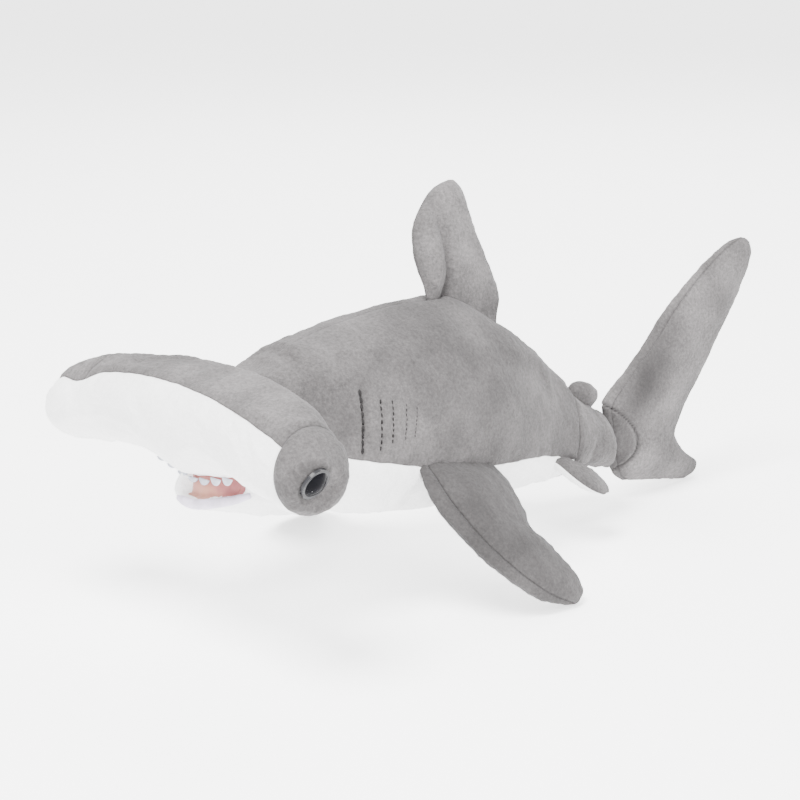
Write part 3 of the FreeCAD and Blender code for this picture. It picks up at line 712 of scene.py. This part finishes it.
def fin_shell(plane, stations, names, cells=26, edge=0.62, wrap=0, shows=0.4):
    """Two panels, sewn together along their edges. names are the panels on the +normal side
    and on the other side. wrap cells of the side it faces are taken by the panel that wraps
    round the leading edge: the first one if wrap is positive, the second if negative."""
    table = np.array([(*lead, *trail, half) for lead, trail, half in stations], float)
    middles = (table[:, 0:2] + table[:, 2:4]) / 2
    run = np.concatenate([[0], np.cumsum(np.linalg.norm(np.diff(middles, axis=0), axis=1)
                                         + 0.5 * np.linalg.norm(np.diff(table[:, 0:2], axis=0), axis=1))])
    spread = np.column_stack([run, table])
    at = np.linspace(0, run[-1], int(run[-1] / 1.5 / 2.2) + 6)
    rows = catmull(spread, at)
    u = (1 - np.cos(np.linspace(0, math.pi, cells + 1))) / 2
    profile = np.clip(4 * u * (1 - u), 0, 1) ** edge
    shell = Shell()
    numbers = []
    for lead_a, lead_o, trail_a, trail_o, half in rows:
        along, out = lead_a + (trail_a - lead_a) * u, lead_o + (trail_o - lead_o) * u
        front = [plane.at(a, o, half * h) for a, o, h in zip(along, out, profile)]
        rear = [plane.at(a, o, -half * h) for a, o, h in zip(along, out, profile)][1:-1]
        base = shell.add(front)
        low = shell.add(rear)
        ring = list(range(base, base + cells + 1)) + list(range(low + cells - 2, low - 1, -1)) + [base]
        numbers.append(ring)
    kinds = [names[0]] * cells + [names[1]] * cells
    if wrap > 0:
        kinds[-wrap:] = [names[0]] * wrap
    if wrap < 0:
        kinds[:-wrap] = [names[1]] * -wrap
    for a, b in zip(numbers, numbers[1:]):
        first, second = (a, b) if not plane.mirror else (a[::-1], b[::-1])
        shell.strip(first, second, kinds if not plane.mirror else kinds[::-1])
    for ring, flip in ((numbers[0], False), (numbers[-1], True)):
        for k in range(cells):
            a, b = ring[k], ring[k + 1]
            c, d = ring[2 * cells - 1 - k], ring[2 * cells - k]
            corners = [v for n, v in enumerate((b, a, d, c)) if v not in (b, a, d, c)[:n]]
            if len(corners) < 3:
                continue
            if flip != plane.mirror:
                corners = corners[::-1]
            shell.faces.append(tuple(corners))
            shell.panels.append(names[0])
    shell.points = np.array(shell.points)
    lead = -wrap if wrap <= 0 else 2 * cells - wrap
    shell.seam([r[lead] for r in numbers], shows)
    shell.seam([r[cells] for r in numbers], shows * 0.6)
    shell.pins.update(r[0] for r in numbers)
    shell.pins.update(v for r in numbers[:2] for v in r)
    shell.pins.update(numbers[-1])
    return shell


# ---- small pieces ----
def surface_of(obj):
    """The object's surface in own-frame millimetres, to be met by rays."""
    mesh = obj.data
    return BVHTree.FromPolygons([tuple(p) for p in own(mesh)], [tuple(p.vertices) for p in mesh.polygons])


def met(surface, start, direction):
    """Where a ray meets the surface, and the surface's normal there."""
    spot, normal, _, _ = surface.ray_cast(Vector(start), Vector(direction))
    return np.array(spot), np.array(normal)


def mesh_piece(name, points, faces):
    """An object from own-frame points, smooth shaded."""
    mesh = bpy.data.meshes.new(name)
    mesh.from_pydata(place(points).tolist(), [], [tuple(int(v) for v in f) for f in faces])
    mesh.polygons.foreach_set("use_smooth", [True] * len(mesh.polygons))
    mesh.update()
    return linked(name, mesh)


def tube(path, radii, sides=10):
    """Points and faces of a closed tube along path, with its own radius at each point."""
    path = np.array(path, float)
    ahead = np.gradient(path, axis=0)
    ahead /= np.linalg.norm(ahead, axis=1)[:, None]
    side = np.cross(ahead, [0.0, 0.0, 1.0]) + 1e-6
    side = np.where(np.linalg.norm(side, axis=1)[:, None] < 0.2, np.cross(ahead, [0.0, 1.0, 0.0]), side)
    side /= np.linalg.norm(side, axis=1)[:, None]
    third = np.cross(ahead, side)
    angles = np.arange(sides) * 2 * math.pi / sides
    points, faces = [], []
    for spot, a, b, radius in zip(path, side, third, radii):
        points += [spot + radius * (math.cos(t) * a + math.sin(t) * b) for t in angles]
    for ring in range(len(path) - 1):
        low, high = ring * sides, (ring + 1) * sides
        faces += [(low + k, low + (k + 1) % sides, high + (k + 1) % sides, high + k) for k in range(sides)]
    last = (len(path) - 1) * sides
    points += [path[0], path[-1]]
    faces += [(k, len(points) - 2, (k + 1) % sides) for k in range(sides)]
    faces += [(last + (k + 1) % sides, len(points) - 1, last + k) for k in range(sides)]
    return points, faces


def joined(parts):
    """Several (points, faces) as one."""
    points, faces = [], []
    for more, theirs in parts:
        faces += [tuple(v + len(points) for v in f) for f in theirs]
        points += list(more)
    return points, faces


def slab(grid, thickness):
    """A grid of points, shape (rows, columns, 3), as a closed sheet that thick behind it."""
    rows, columns, _ = grid.shape
    across = np.gradient(grid, axis=1)
    down = np.gradient(grid, axis=0)
    out = np.cross(across, down)
    out /= np.linalg.norm(out, axis=2)[:, :, None] + 1e-9
    behind = grid - out * thickness
    points = np.vstack([grid.reshape(-1, 3), behind.reshape(-1, 3)])
    cells = [(i * columns + k, i * columns + k + 1, (i + 1) * columns + k + 1, (i + 1) * columns + k)
             for i in range(rows - 1) for k in range(columns - 1)]
    return points, closed_faces(cells, rows * columns)


def make_mouth(skin):
    """The satin lining of the mouth's pocket, and the rolled lower lip."""
    xs = np.linspace(MOUTH_FAR + 2.5, 0.97 * MOUTH_HALF, 41)
    grid = np.zeros((18, 41, 3))
    for k, x in enumerate(xs):
        low = lip_height(x) - 0.2
        for i, share in enumerate(np.linspace(0, 1, 18)):
            z = low + (MOUTH_TOP - low) * share
            spot, _ = met(skin, (x, -60.0, z), (0, 1, 0))
            edge = min(share / 0.2, k / 5, (40 - k) / 4, 1.0)
            grid[i, k] = (x, spot[1] + 0.7 - 2.1 * edge, z)
    grid[:, :, 1] += 0.3 * waves(grid.reshape(-1, 3), 9, seed=61).reshape(18, 41)
    lining = mesh_piece("mouth_lining_cloth", *slab(grid, 0.8))
    dress(lining, "pink_satin")
    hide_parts("mouth_lining")
    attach(lining, "trunk")
    path, radii = [], []
    for t in np.linspace(-1, 1, 49):
        x = (MOUTH_FAR + MOUTH_HALF) / 2 + (MOUTH_HALF - MOUTH_FAR + 2) / 2 * t
        z = lip_height(x) - 1.3
        spot, _ = met(skin, (x, -60.0, z - 0.4), (0, 1, 0))
        path.append((x, spot[1] - 0.5, z))
        radii.append(1.0 + 1.4 * math.sqrt(max(0.0, 1 - t * t)) + 0.06 * math.sin(x * 1.7))
    path = np.array(path)
    for _ in range(6):
        path[1:-1, 1] = (path[:-2, 1] + path[1:-1, 1] + path[2:, 1]) / 3
    lip = mesh_piece("lower_lip_roll", *tube(path, radii, 14))
    lip.data.materials.append(MATERIALS["lip_satin"])
    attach(lip, "trunk")


def make_gills(skin):
    """Running stitches at the bottom of each gill tuck, in near-black thread that also stands in for the shade in
    the groove.
    """
    for name, side in (("left", 1), ("right", -1)):
        stitches = []
        for k, radius in enumerate(GILL_THREADS):
            count = 9 if k == 0 else 8
            for n in range(count):
                ends = ((n + 0.06) / count, (n + (1.02 if k == 0 else 0.72)) / count)
                path = []
                for share in np.linspace(*ends, 6):
                    y, z = gill_place(k, share)
                    spot, normal = met(skin, (side * 120.0, y, z), (-side, 0, 0))
                    bow = math.sin((share - ends[0]) / (ends[1] - ends[0]) * math.pi)
                    path.append(spot + normal * (0.5 * bow - 0.15) * radius)
                radii = [radius * r for r in (0.45, 0.85, 1, 1, 0.85, 0.45)]
                stitches.append(tube(path, radii, 8))
        piece = mesh_piece("gill_thread_" + name, *joined(stitches))
        dress(piece, "thread")
        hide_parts("gill_stitches_" + name)
        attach(piece, "trunk")


LABEL_Y, LABEL_LENGTH, LABEL_REACH = 212.0, 18.0, 9.0


def make_label():
    """A blank woven tape, folded double and sewn into the seam on the right side."""
    around = np.linspace(0, 1, 25)
    out = LABEL_REACH * np.sin(around * math.pi) ** 0.5
    apart = 0.55 * np.cos(around * math.pi)
    grid = np.zeros((25, 19, 3))
    for k, share in enumerate(np.linspace(-0.5, 0.5, 19)):
        y = LABEL_Y + LABEL_LENGTH * share
        side = section(y, np.array([math.pi]), 0.0)[0]
        curl = 0.5 * np.sin(share * 5) * out / LABEL_REACH
        drop = apart + curl - 0.012 * out ** 2 - 1.0
        grid[:, k] = np.stack([side[0] + 1.5 - out, np.full(25, y), side[2] + drop], 1)
    label = mesh_piece("care_label_tape", *slab(grid, 0.22))
    dress(label, "label_tape")
    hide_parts("care_label")
    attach(label, "trunk")


TEETH, TOOTH_PITCH, TOOTH_WIDTH, TOOTH_LENGTH, TOOTH_ROOT, TOOTH_AHEAD = 7, 7.8, 6.4, 1.8, 0.9, 1.0


def make_teeth():
    """Rounded felt teeth, sewn in under the front edge of the snout."""
    teeth = []
    for n in range(TEETH):
        x = (n - (TEETH - 1) / 2) * TOOTH_PITCH
        below = head_below(x, THICK)
        y = HEAD_CENTRE[1] - TOOTH_AHEAD
        root = head_centre(np.array(x))[2] - below + TOOTH_ROOT
        grown = 0.12 + 0.88 * smoothstep(x, -9.0, 3.0)
        length = TOOTH_LENGTH * grown * (1 - 0.5 * math.exp(-(x / 10) ** 2)) + TOOTH_ROOT
        across = np.linspace(-1, 1, 15)
        outline = [(TOOTH_WIDTH / 2 * s, -length * (1 - abs(s) ** 2.4)) for s in across]
        outline += [(TOOTH_WIDTH / 2 * s, 0.6) for s in across[::-1]]
        middle = np.mean(outline, axis=0)
        points, count = [], len(outline)
        for depth, size in ((-0.6, 0.8), (-0.45, 0.96), (0.0, 1.0), (0.45, 0.96), (0.6, 0.8)):
            for p in outline:
                q = middle + (np.array(p) - middle) * size
                points.append((x + q[0], y + depth + 0.04 * math.sin(n * 2.1) * q[1], root + q[1]))
        faces = [(r * count + k, r * count + (k + 1) % count,
                  (r + 1) * count + (k + 1) % count, (r + 1) * count + k)
                 for r in range(4) for k in range(count)]
        faces += [tuple(range(count))[::-1], tuple(range(4 * count, 5 * count))]
        teeth.append((points, faces))
    piece = mesh_piece("felt_teeth", *joined(teeth))
    dress(piece, "white_felt")
    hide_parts("upper_teeth")
    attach(piece, "head")


# ---- materials ----
class Nodes:
    """A material with a Principled shader, built from named nodes."""

    def __init__(self, name, colour, roughness):
        self.material = bpy.data.materials.new(name)
        self.material.use_nodes = True
        self.tree = self.material.node_tree
        self.shader = self.tree.nodes["Principled BSDF"]
        self.shader.inputs["Base Color"].default_value = (*colour, 1)
        self.shader.inputs["Roughness"].default_value = roughness

    def node(self, kind, **values):
        made = self.tree.nodes.new(kind)
        for key, value in values.items():
            if key in made.inputs:
                made.inputs[key].default_value = value
            else:
                setattr(made, key, value)
        return made

    def link(self, output, target):
        self.tree.links.new(output, target)

    def noise(self, scale, detail=3.0, stretch=(1, 1, 1), roughness=0.5):
        coordinate = self.node("ShaderNodeTexCoord")
        mapping = self.node("ShaderNodeMapping")
        mapping.inputs["Scale"].default_value = stretch
        self.link(coordinate.outputs["Object"], mapping.inputs["Vector"])
        noise = self.node("ShaderNodeTexNoise")
        noise.inputs["Scale"].default_value = scale
        noise.inputs["Detail"].default_value = detail
        noise.inputs["Roughness"].default_value = roughness
        self.link(mapping.outputs["Vector"], noise.inputs["Vector"])
        return noise.outputs["Fac"]

    def ramp(self, value, stops):
        ramp = self.node("ShaderNodeValToRGB")
        elements = ramp.color_ramp.elements
        while len(elements) < len(stops):
            elements.new(0.5)
        for element, (position, colour) in zip(elements, stops):
            element.position = position
            element.color = (*colour, 1)
        self.link(value, ramp.inputs["Fac"])
        return ramp.outputs["Color"]

    def mix(self, factor, first, second, blend="MIX"):
        mix = self.node("ShaderNodeMix")
        mix.data_type = "RGBA"
        mix.blend_type = blend
        for key, value in (("Factor", factor), ("A", first), ("B", second)):
            socket = mix.inputs[key]
            if hasattr(value, "links"):
                self.link(value, socket)
            elif isinstance(value, (int, float)):
                socket.default_value = value
            else:
                socket.default_value = (*value, 1)
        return mix.outputs["Result"]

    def bump(self, height, strength, distance, before=None):
        bump = self.node("ShaderNodeBump")
        bump.inputs["Strength"].default_value = strength
        bump.inputs["Distance"].default_value = distance
        self.link(height, bump.inputs["Height"])
        if before is not None:
            self.link(before, bump.inputs["Normal"])
        return bump.outputs["Normal"]


def times(colour, factor):
    return tuple(c * factor for c in colour)


def plush(name, colour, contrast, shade_colour, sheen, shade_from):
    """Short pile: brushed patches, tufts and single fibres, and painted shade from the seam attribute at the seams
    and in the hollows.
    """
    m = Nodes(name, colour, 0.92)
    patches = m.ramp(m.noise(13, 1.5), [(0.40, times((1, 1, 1), 1 - contrast)), (0.5, (1, 1, 1)),
                                        (0.60, times((1, 1, 1), 1 + contrast))])
    brushed_pile_and_painted_shade = m.ramp(m.noise(42, 2.5), [(0.36, times(colour, 1 - contrast)), (0.50, colour),
                                        (0.64, times(colour, 1 + contrast))])
    tufts = m.ramp(m.noise(640, 4.0, roughness=0.75),
                   [(0.30, times((1, 1, 1), 1 - 1.7 * contrast)), (0.5, (1, 1, 1)),
                    (0.70, times((1, 1, 1), 1 + 1.9 * contrast))])
    coloured = m.mix(1.0, m.mix(1.0, brushed_pile_and_painted_shade, patches, "MULTIPLY"), tufts, "MULTIPLY")
    # The seam attribute holds painted shade: it mixes the colour towards shade_colour.
    seam = m.node("ShaderNodeAttribute")
    seam.attribute_name = "seam"
    dark = m.ramp(seam.outputs["Fac"], [(shade_from, (0, 0, 0)), (0.95, (1, 1, 1))])
    m.link(m.mix(dark, coloured, shade_colour), m.shader.inputs["Base Color"])
    lumps = m.bump(m.noise(260, 3.0), 0.55, 0.0014)
    fibres = m.bump(m.noise(1100, 2.0, stretch=(1, 0.45, 1)), 0.6, 0.0006, lumps)
    m.link(fibres, m.shader.inputs["Normal"])
    m.shader.inputs["Sheen Weight"].default_value = sheen
    m.shader.inputs["Sheen Roughness"].default_value = 0.5
    m.shader.inputs["Sheen Tint"].default_value = (0.96, 0.95, 0.96, 1)
    m.shader.inputs["Specular IOR Level"].default_value = 0.15
    return m.material


GREY = (0.094, 0.0885, 0.0885)
WHITE = (0.80, 0.80, 0.80)


def satin():
    m = Nodes("pink_satin", (0.34, 0.12, 0.11), 0.55)
    colour = m.ramp(m.noise(60, 3.0), [(0.35, (0.30, 0.085, 0.09)), (0.5, (0.38, 0.13, 0.115)),
                                       (0.68, (0.46, 0.21, 0.14))])
    m.link(colour, m.shader.inputs["Base Color"])
    m.link(m.bump(m.noise(700, 2.0, stretch=(1, 3, 1)), 0.35, 0.0004), m.shader.inputs["Normal"])
    m.shader.inputs["Sheen Weight"].default_value = 0.3
    return m.material


def simple(name, colour, roughness, scale=500, strength=0.3, distance=0.0003, spread=0.12, gloss=0.3):
    """Any small part: uneven colour and a fine relief."""
    m = Nodes(name, colour, roughness)
    m.shader.inputs["Specular IOR Level"].default_value = gloss
    tint = m.ramp(m.noise(scale * 0.3, 3.0), [(0.35, times(colour, 1 - spread)),
                                              (0.65, times(colour, 1 + spread))])
    m.link(tint, m.shader.inputs["Base Color"])
    m.link(m.bump(m.noise(scale, 3.0), strength, distance), m.shader.inputs["Normal"])
    return m.material


MATERIALS = {
    "grey_plush": plush("grey_plush", GREY, 0.2, times(GREY, 0.2), 0.07, 0.02),
    "white_plush": plush("white_plush", WHITE, 0.03, times(WHITE, 0.5), 0.1, 0.3),
    "lip_satin": simple("lip_satin", (0.60, 0.55, 0.66), 0.6, 700, 0.3),
    "pink_satin": satin(),
    "thread": simple("thread", (0.012, 0.011, 0.011), 0.8, 900, 0.5),
    "white_felt": simple("white_felt", (0.42, 0.44, 0.50), 0.95, 900, 0.6),
    "polyester_fill": simple("polyester_fill", (0.82, 0.82, 0.81), 0.95, 300, 0.8, 0.001),
    "cotton": simple("cotton", (0.72, 0.69, 0.60), 0.9, 1200, 0.5),
    "beads": simple("beads", (0.55, 0.60, 0.62), 0.2, 800, 0.8, 0.0006),
    "label_tape": simple("label_tape", (0.82, 0.82, 0.80), 0.6, 1500, 0.4),
    "washer_plastic": simple("washer_plastic", (0.80, 0.80, 0.80), 0.5, 600, 0.1),
    "eye_black": simple("eye_black", (0.003, 0.003, 0.004), 0.1, 300, 0.02, 0.0001, 0.3, 0.03),
    "eye_rim": simple("eye_rim", (0.02, 0.02, 0.022), 0.25, 400, 0.05, 0.0001, 0.2, 0.13),
}


def dress(piece, slot):
    piece.data.materials.clear()
    piece.data.materials.append(MATERIALS[slot])


def plain_filling(piece, node):
    piece.data.materials.clear()
    piece.data.materials.append(MATERIALS["polyester_fill"])
    piece.data.polygons.foreach_set("material_index", [0] * len(piece.data.polygons))
    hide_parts(node)


def bend(piece):
    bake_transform(piece)


def inside_head(points, depth):
    """True where a point is deeper than depth inside the hammer."""
    x = np.clip(points[:, 0], -HALF, HALF)
    rel = points - head_centre(x)
    return (np.hypot(rel[:, 1] / (DEPTH_END + 4 - depth), rel[:, 2] / (THICK_END + 4 - depth)) < 1) \
        & (np.abs(points[:, 0]) < HALF - THICK_END)


def chest_inset(points):
    """The stuffing lies deeper behind the mouth and in the throat, where the head moves."""
    return (4.5 + MOUTH_DEPTH * mouth_mask(points)
            + 2.5 * (1 - smoothstep(points[:, 1], 30.0, 60.0)))


def make_trunk():
    shell = trunk_shell()
    obj = shell_object("trunk_shell", shell)
    inflate(obj, shell.pins, BODY_PRESSURE, BODY_CAP, BODY_EASE)
    rest = own(obj.data)
    fill = filling("body_filling", obj, chest_inset,
                   ahead=lambda points: 6.0 * smoothstep(points[:, 1], 285.0, 302.0))
    plain_filling(fill, "body_stuffing")
    bend(fill)
    finish_shell(obj, shell, rest, 11, extra=trunk_detail, dent=mouth_dent)
    skin = surface_of(obj)
    made = panels(obj, shell, hidden=lambda points: inside_head(points, 5.0))
    for name, slot, node in (("back_panel_left", "grey_plush", "back_cover_left"),
                             ("back_panel_right", "grey_plush", "back_cover_right"),
                             ("belly_panel", "white_plush", "belly_cover"),
                             ("stem_panel", "grey_plush", "stem_cover")):
        dress(made[name], slot)
        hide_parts(node)
        bend(made[name])
    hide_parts("stem_stuffing")
    make_mouth(skin)
    make_gills(skin)
    make_label()


def make_head():
    shell = head_shell()
    obj = shell_object("head_shell", shell)
    inflate(obj, shell.pins, BODY_PRESSURE, BODY_CAP, BODY_EASE)
    rest = own(obj.data)
    fill = filling("head_filling", obj, lambda points: 3.5 + 5.0 * eye_nearness(points))
    plain_filling(fill, "head_stuffing")
    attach(fill, "head")
    finish_shell(obj, shell, rest, 23, extra=head_detail, dent=eye_dent)
    made = panels(obj, shell)
    for name, slot, node in (("hammer_top_panel", "grey_plush", "head_top_cover"),
                             ("hammer_front_panel", "white_plush", "head_front_cover"),
                             ("hammer_cap_cloth_left", "grey_plush", "hammer_cap_left"),
                             ("hammer_cap_cloth_right", "grey_plush", "hammer_cap_right")):
        dress(made[name], slot)
        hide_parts(node)
        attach(made[name], "head")
    make_teeth()


def fin_filling(name, plane, stations, node, slim, fold):
    """The stuffing: the same fin, slimmer, short of its edges, and with the same fold."""
    inner = []
    for lead, trail, half in stations[1:-2]:
        lead, trail = np.array(lead, float), np.array(trail, float)
        shorter = (trail - lead) / np.linalg.norm(trail - lead) * 2.2 * slim
        if half > 1.4 * slim and np.linalg.norm(trail - lead) > 6 * slim:
            inner.append((tuple(lead + shorter), tuple(trail - shorter), half - slim))
    shell = fin_shell(plane, inner, [name, name], 14)
    piece = shell_object(name, shell)
    mesh = piece.data
    points, out = own(mesh), normals(mesh)
    shift = 0.4 * waves(points, 9) + (fold(points, out)[0] if fold else 0.0)
    mesh.vertices.foreach_set("co", place(points + out * shift[:, None]).ravel())
    subdivided(piece)
    plain_filling(piece, node)
    return piece


def make_fin(name, plane, stations, nodes, slots, seed, line, cells=26, extra=None,
             cap=1.2, wrap=0, shows=0.4, slim=3.6):
    """nodes: the CAD nodes of the +normal panel, of the other panel, and of the stuffing.
    line: not used."""
    names = [name + "_cloth_a", name + "_cloth_b"]
    local = (lambda points, out: extra(plane, points, out)) if extra else None
    fill = fin_filling(name + "_filling", plane, stations, nodes[2], slim, local)
    shell = fin_shell(plane, stations, names, cells, wrap=wrap, shows=shows)
    obj = shell_object(name, shell)
    inflate(obj, shell.pins, FIN_PRESSURE, cap, FIN_EASE)
    rest = own(obj.data)
    finish_shell(obj, shell, rest, seed, depth=0.8, width=1.6, pucker=0.12, extra=local)
    made = panels(obj, shell, room=lambda points: 0.55 * np.abs(plane.local(points)[2]) + 0.05)
    for panel, slot, node in zip(names, slots, nodes):
        dress(made[panel], slot)
        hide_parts(node)
    for piece in (fill, *made.values()):
        bend(piece)


def dorsal_crease(plane, points, out):
    """A fold curves down the left face to the root, deepest beside the body; the pocket at its foot gets painted
    shade.
    """
    along, up, off = plane.local(points)
    middle = 11.0 - 0.0095 * up ** 2
    left = smoothstep(off, -0.5, 2.5)
    fade = 1 - smoothstep(up, 22.0, 46.0)
    fold = (-3.6 * np.exp(-((along - middle) / 3.0) ** 2)
            + 1.4 * np.exp(-((along - middle + 7.5) / 4.0) ** 2))
    pocket = (1 - smoothstep(up, 4.0, 34.0)) * np.exp(-((along - middle) / 1.8) ** 2)
    return left * fade * fold, 0.6 * left * pocket


def tail_shadow(plane, points, out):
    """The fin's root goes down into the stem, as far as a curved tuck on each side; painted shade on the tuck, the
    root and a patch higher up.
    """
    y, z = points[:, 1], points[:, 2]
    behind = y - 322.5 + 20.7 * ((z - 17.0) / 20.4) ** 2
    low = 1 - smoothstep(z, 38.0, 44.0)
    tuck = np.exp(-(behind / 1.5) ** 2)
    root = 1 - smoothstep(behind, -5.0, 0.5)
    # Painted shade: a wide dark patch over the middle of the fin.
    brushed_pile_and_painted_shade = 0.8 * np.exp(-((y - 322.0 - 0.45 * (z - 50.0)) / 16.0) ** 2 - ((z - 52.0) / 30.0) ** 2)
    dark = np.maximum(0.9 * np.exp(-(behind / 1.3) ** 2), 0.55 * root)
    return low * (-1.5 * tuck - 0.8 * root), np.maximum(low * dark, brushed_pile_and_painted_shade)


def pectoral_painted_shade(plane, points, out):
    """Painted shade over the whole fin, a little less towards its tip."""
    _, up, _ = plane.local(points)
    return np.zeros(len(points)), 0.7 - 0.2 * smoothstep(up, 45.0, 75.0)


def root_line(plane, reach):
    return [plane.at(25, 0.0), plane.at(25, reach)]


PAIRED_FIN_PARTS = ("lower_panel", "upper_panel", "stuffing")


def make_fins():
    both = ("grey_plush", "grey_plush")
    dorsal = FinPlane(DORSAL_ROOT, DORSAL_TIP)
    make_fin("dorsal", dorsal, DORSAL,
             ("dorsal_fin_left_panel", "dorsal_fin_right_panel", "dorsal_fin_stuffing"), both, 31,
             root_line(dorsal, 14), extra=dorsal_crease)
    second = FinPlane(SECOND_ROOT, SECOND_TIP)
    make_fin("second_dorsal", second, SECOND,
             ("second_dorsal_fin_left_panel", "second_dorsal_fin_right_panel",
              "second_dorsal_fin_stuffing"), both, 37, root_line(second, 5), cells=12, cap=0.8, slim=2.2)
    for side, mirror in (("left", False), ("right", True)):
        plane = FinPlane(PECTORAL_ROOT, PECTORAL_TIP, mirror)
        make_fin("pectoral_" + side, plane, PECTORAL,
                 tuple(f"pectoral_fin_{part}_{side}" for part in PAIRED_FIN_PARTS), both, 41,
                 root_line(plane, 14), wrap=5, shows=0.85, extra=pectoral_painted_shade)
        plane = FinPlane(PELVIC_ROOT, PELVIC_TIP, mirror)
        make_fin("pelvic_" + side, plane, PELVIC,
                 tuple(f"pelvic_fin_{part}_{side}" for part in PAIRED_FIN_PARTS),
                 ("white_plush", "grey_plush"), 47, root_line(plane, 7), cells=16, cap=0.8, wrap=1,
                 slim=2.6)


def make_tail():
    plane = FinPlane(((0, 0, 0), (0, 1, 0)), (0, 0, 1))
    up = (STEM_END_HIGH - STEM_END_LOW) / np.linalg.norm(STEM_END_HIGH - STEM_END_LOW)
    back = np.array([0, up[2], -up[1]])
    middle = (STEM_END_HIGH + STEM_END_LOW) / 2
    make_fin("tail", plane, TAIL_FIN,
             ("tail_fin_left_panel", "tail_fin_right_panel", "tail_fin_stuffing"),
             ("grey_plush", "grey_plush"), 53, [middle - back * 4, middle + back * 12], cells=30,
             wrap=-5, shows=0.5, extra=tail_shadow)


def dress_cad_nodes():
    """The CAD nodes that keep their shape get their material."""
    for entry in frame["record"]["subparts"]:
        node = frame["nodes"][entry["node"]]
        slot = entry["material_slot"]
        node.data.materials.clear()
        node.data.materials.append(MATERIALS[slot])


# ---- studio ----
CAMERA_AZIMUTH, CAMERA_ELEVATION, CAMERA_DISTANCE = 46.23, 14.74, 1.050
CAMERA_AIM = Vector((0.0, -0.0630, 0.0859))
LENS, SENSOR = 97.2, 36.0


def direction_of(azimuth, elevation):
    """Unit vector, azimuth from the nose towards the left side, in degrees."""
    a, e = math.radians(azimuth), math.radians(elevation)
    return Vector((math.sin(a) * math.cos(e), -math.cos(a) * math.cos(e), math.sin(e)))


def make_camera():
    back = direction_of(CAMERA_AZIMUTH, CAMERA_ELEVATION)
    data = bpy.data.cameras.new("camera")
    data.lens, data.sensor_width = LENS, SENSOR
    camera = linked("camera", data)
    camera.location = CAMERA_AIM + back * CAMERA_DISTANCE
    camera.rotation_euler = back.to_track_quat("Z", "Y").to_euler()
    bpy.context.scene.camera = camera


def area_light(name, azimuth, elevation, distance, size, power):
    away = direction_of(azimuth, elevation)
    data = bpy.data.lights.new(name, "AREA")
    data.shape, data.size, data.energy = "DISK", size, power
    lamp = linked(name, data)
    lamp.location = away * distance
    lamp.rotation_euler = away.to_track_quat("Z", "Y").to_euler()


def make_floor():
    """A wide pale floor that curves up far behind, all round."""
    radii = [0.0, 0.6, 1.2, 2.0, 3.0, 4.0, 5.0, 5.8]
    heights = [0.0, 0.0, 0.0, 0.0, 0.0, 0.12, 0.6, 1.8]
    around = 48
    points = [(0.0, 0.0, -0.0004)]
    for radius, height in zip(radii[1:], heights[1:]):
        for k in range(around):
            a = 2 * math.pi * k / around
            points.append((radius * math.cos(a), radius * math.sin(a), height - 0.0004))
    faces = [(0, 1 + k, 1 + (k + 1) % around) for k in range(around)]
    for ring in range(len(radii) - 2):
        low, high = 1 + ring * around, 1 + (ring + 1) * around
        faces += [(low + k, high + k, high + (k + 1) % around, low + (k + 1) % around) for k in range(around)]
    mesh = bpy.data.meshes.new("floor")
    mesh.from_pydata(points, [], faces)
    mesh.polygons.foreach_set("use_smooth", [True] * len(mesh.polygons))
    floor = linked("floor", mesh)
    m = Nodes("floor", (0.93, 0.93, 0.93), 0.9)
    pale = m.ramp(m.noise(2.0), [(0.3, (0.92, 0.92, 0.92)), (0.7, (0.94, 0.94, 0.94))])
    m.link(pale, m.shader.inputs["Base Color"])
    m.shader.inputs["Specular IOR Level"].default_value = 0.1
    m.shader.inputs["Emission Color"].default_value = (1, 1, 1, 1)
    m.shader.inputs["Emission Strength"].default_value = 1.5
    mesh.materials.append(m.material)


def make_light():
    world = bpy.data.worlds.new("studio")
    bpy.context.scene.world = world
    world.use_nodes = True
    sky = world.node_tree.nodes["Background"]
    sky.inputs["Color"].default_value = (1, 1, 1, 1)
    sky.inputs["Strength"].default_value = 1.75
    area_light("key", 8, 66, 1.9, 0.9, 95)
    area_light("fill", 78, 38, 2.0, 1.2, 36)
    area_light("rim", 215, 45, 1.9, 1.0, 30)


dress_cad_nodes()
make_trunk()
make_head()
make_fins()
make_tail()
make_floor()
make_light()
make_camera()
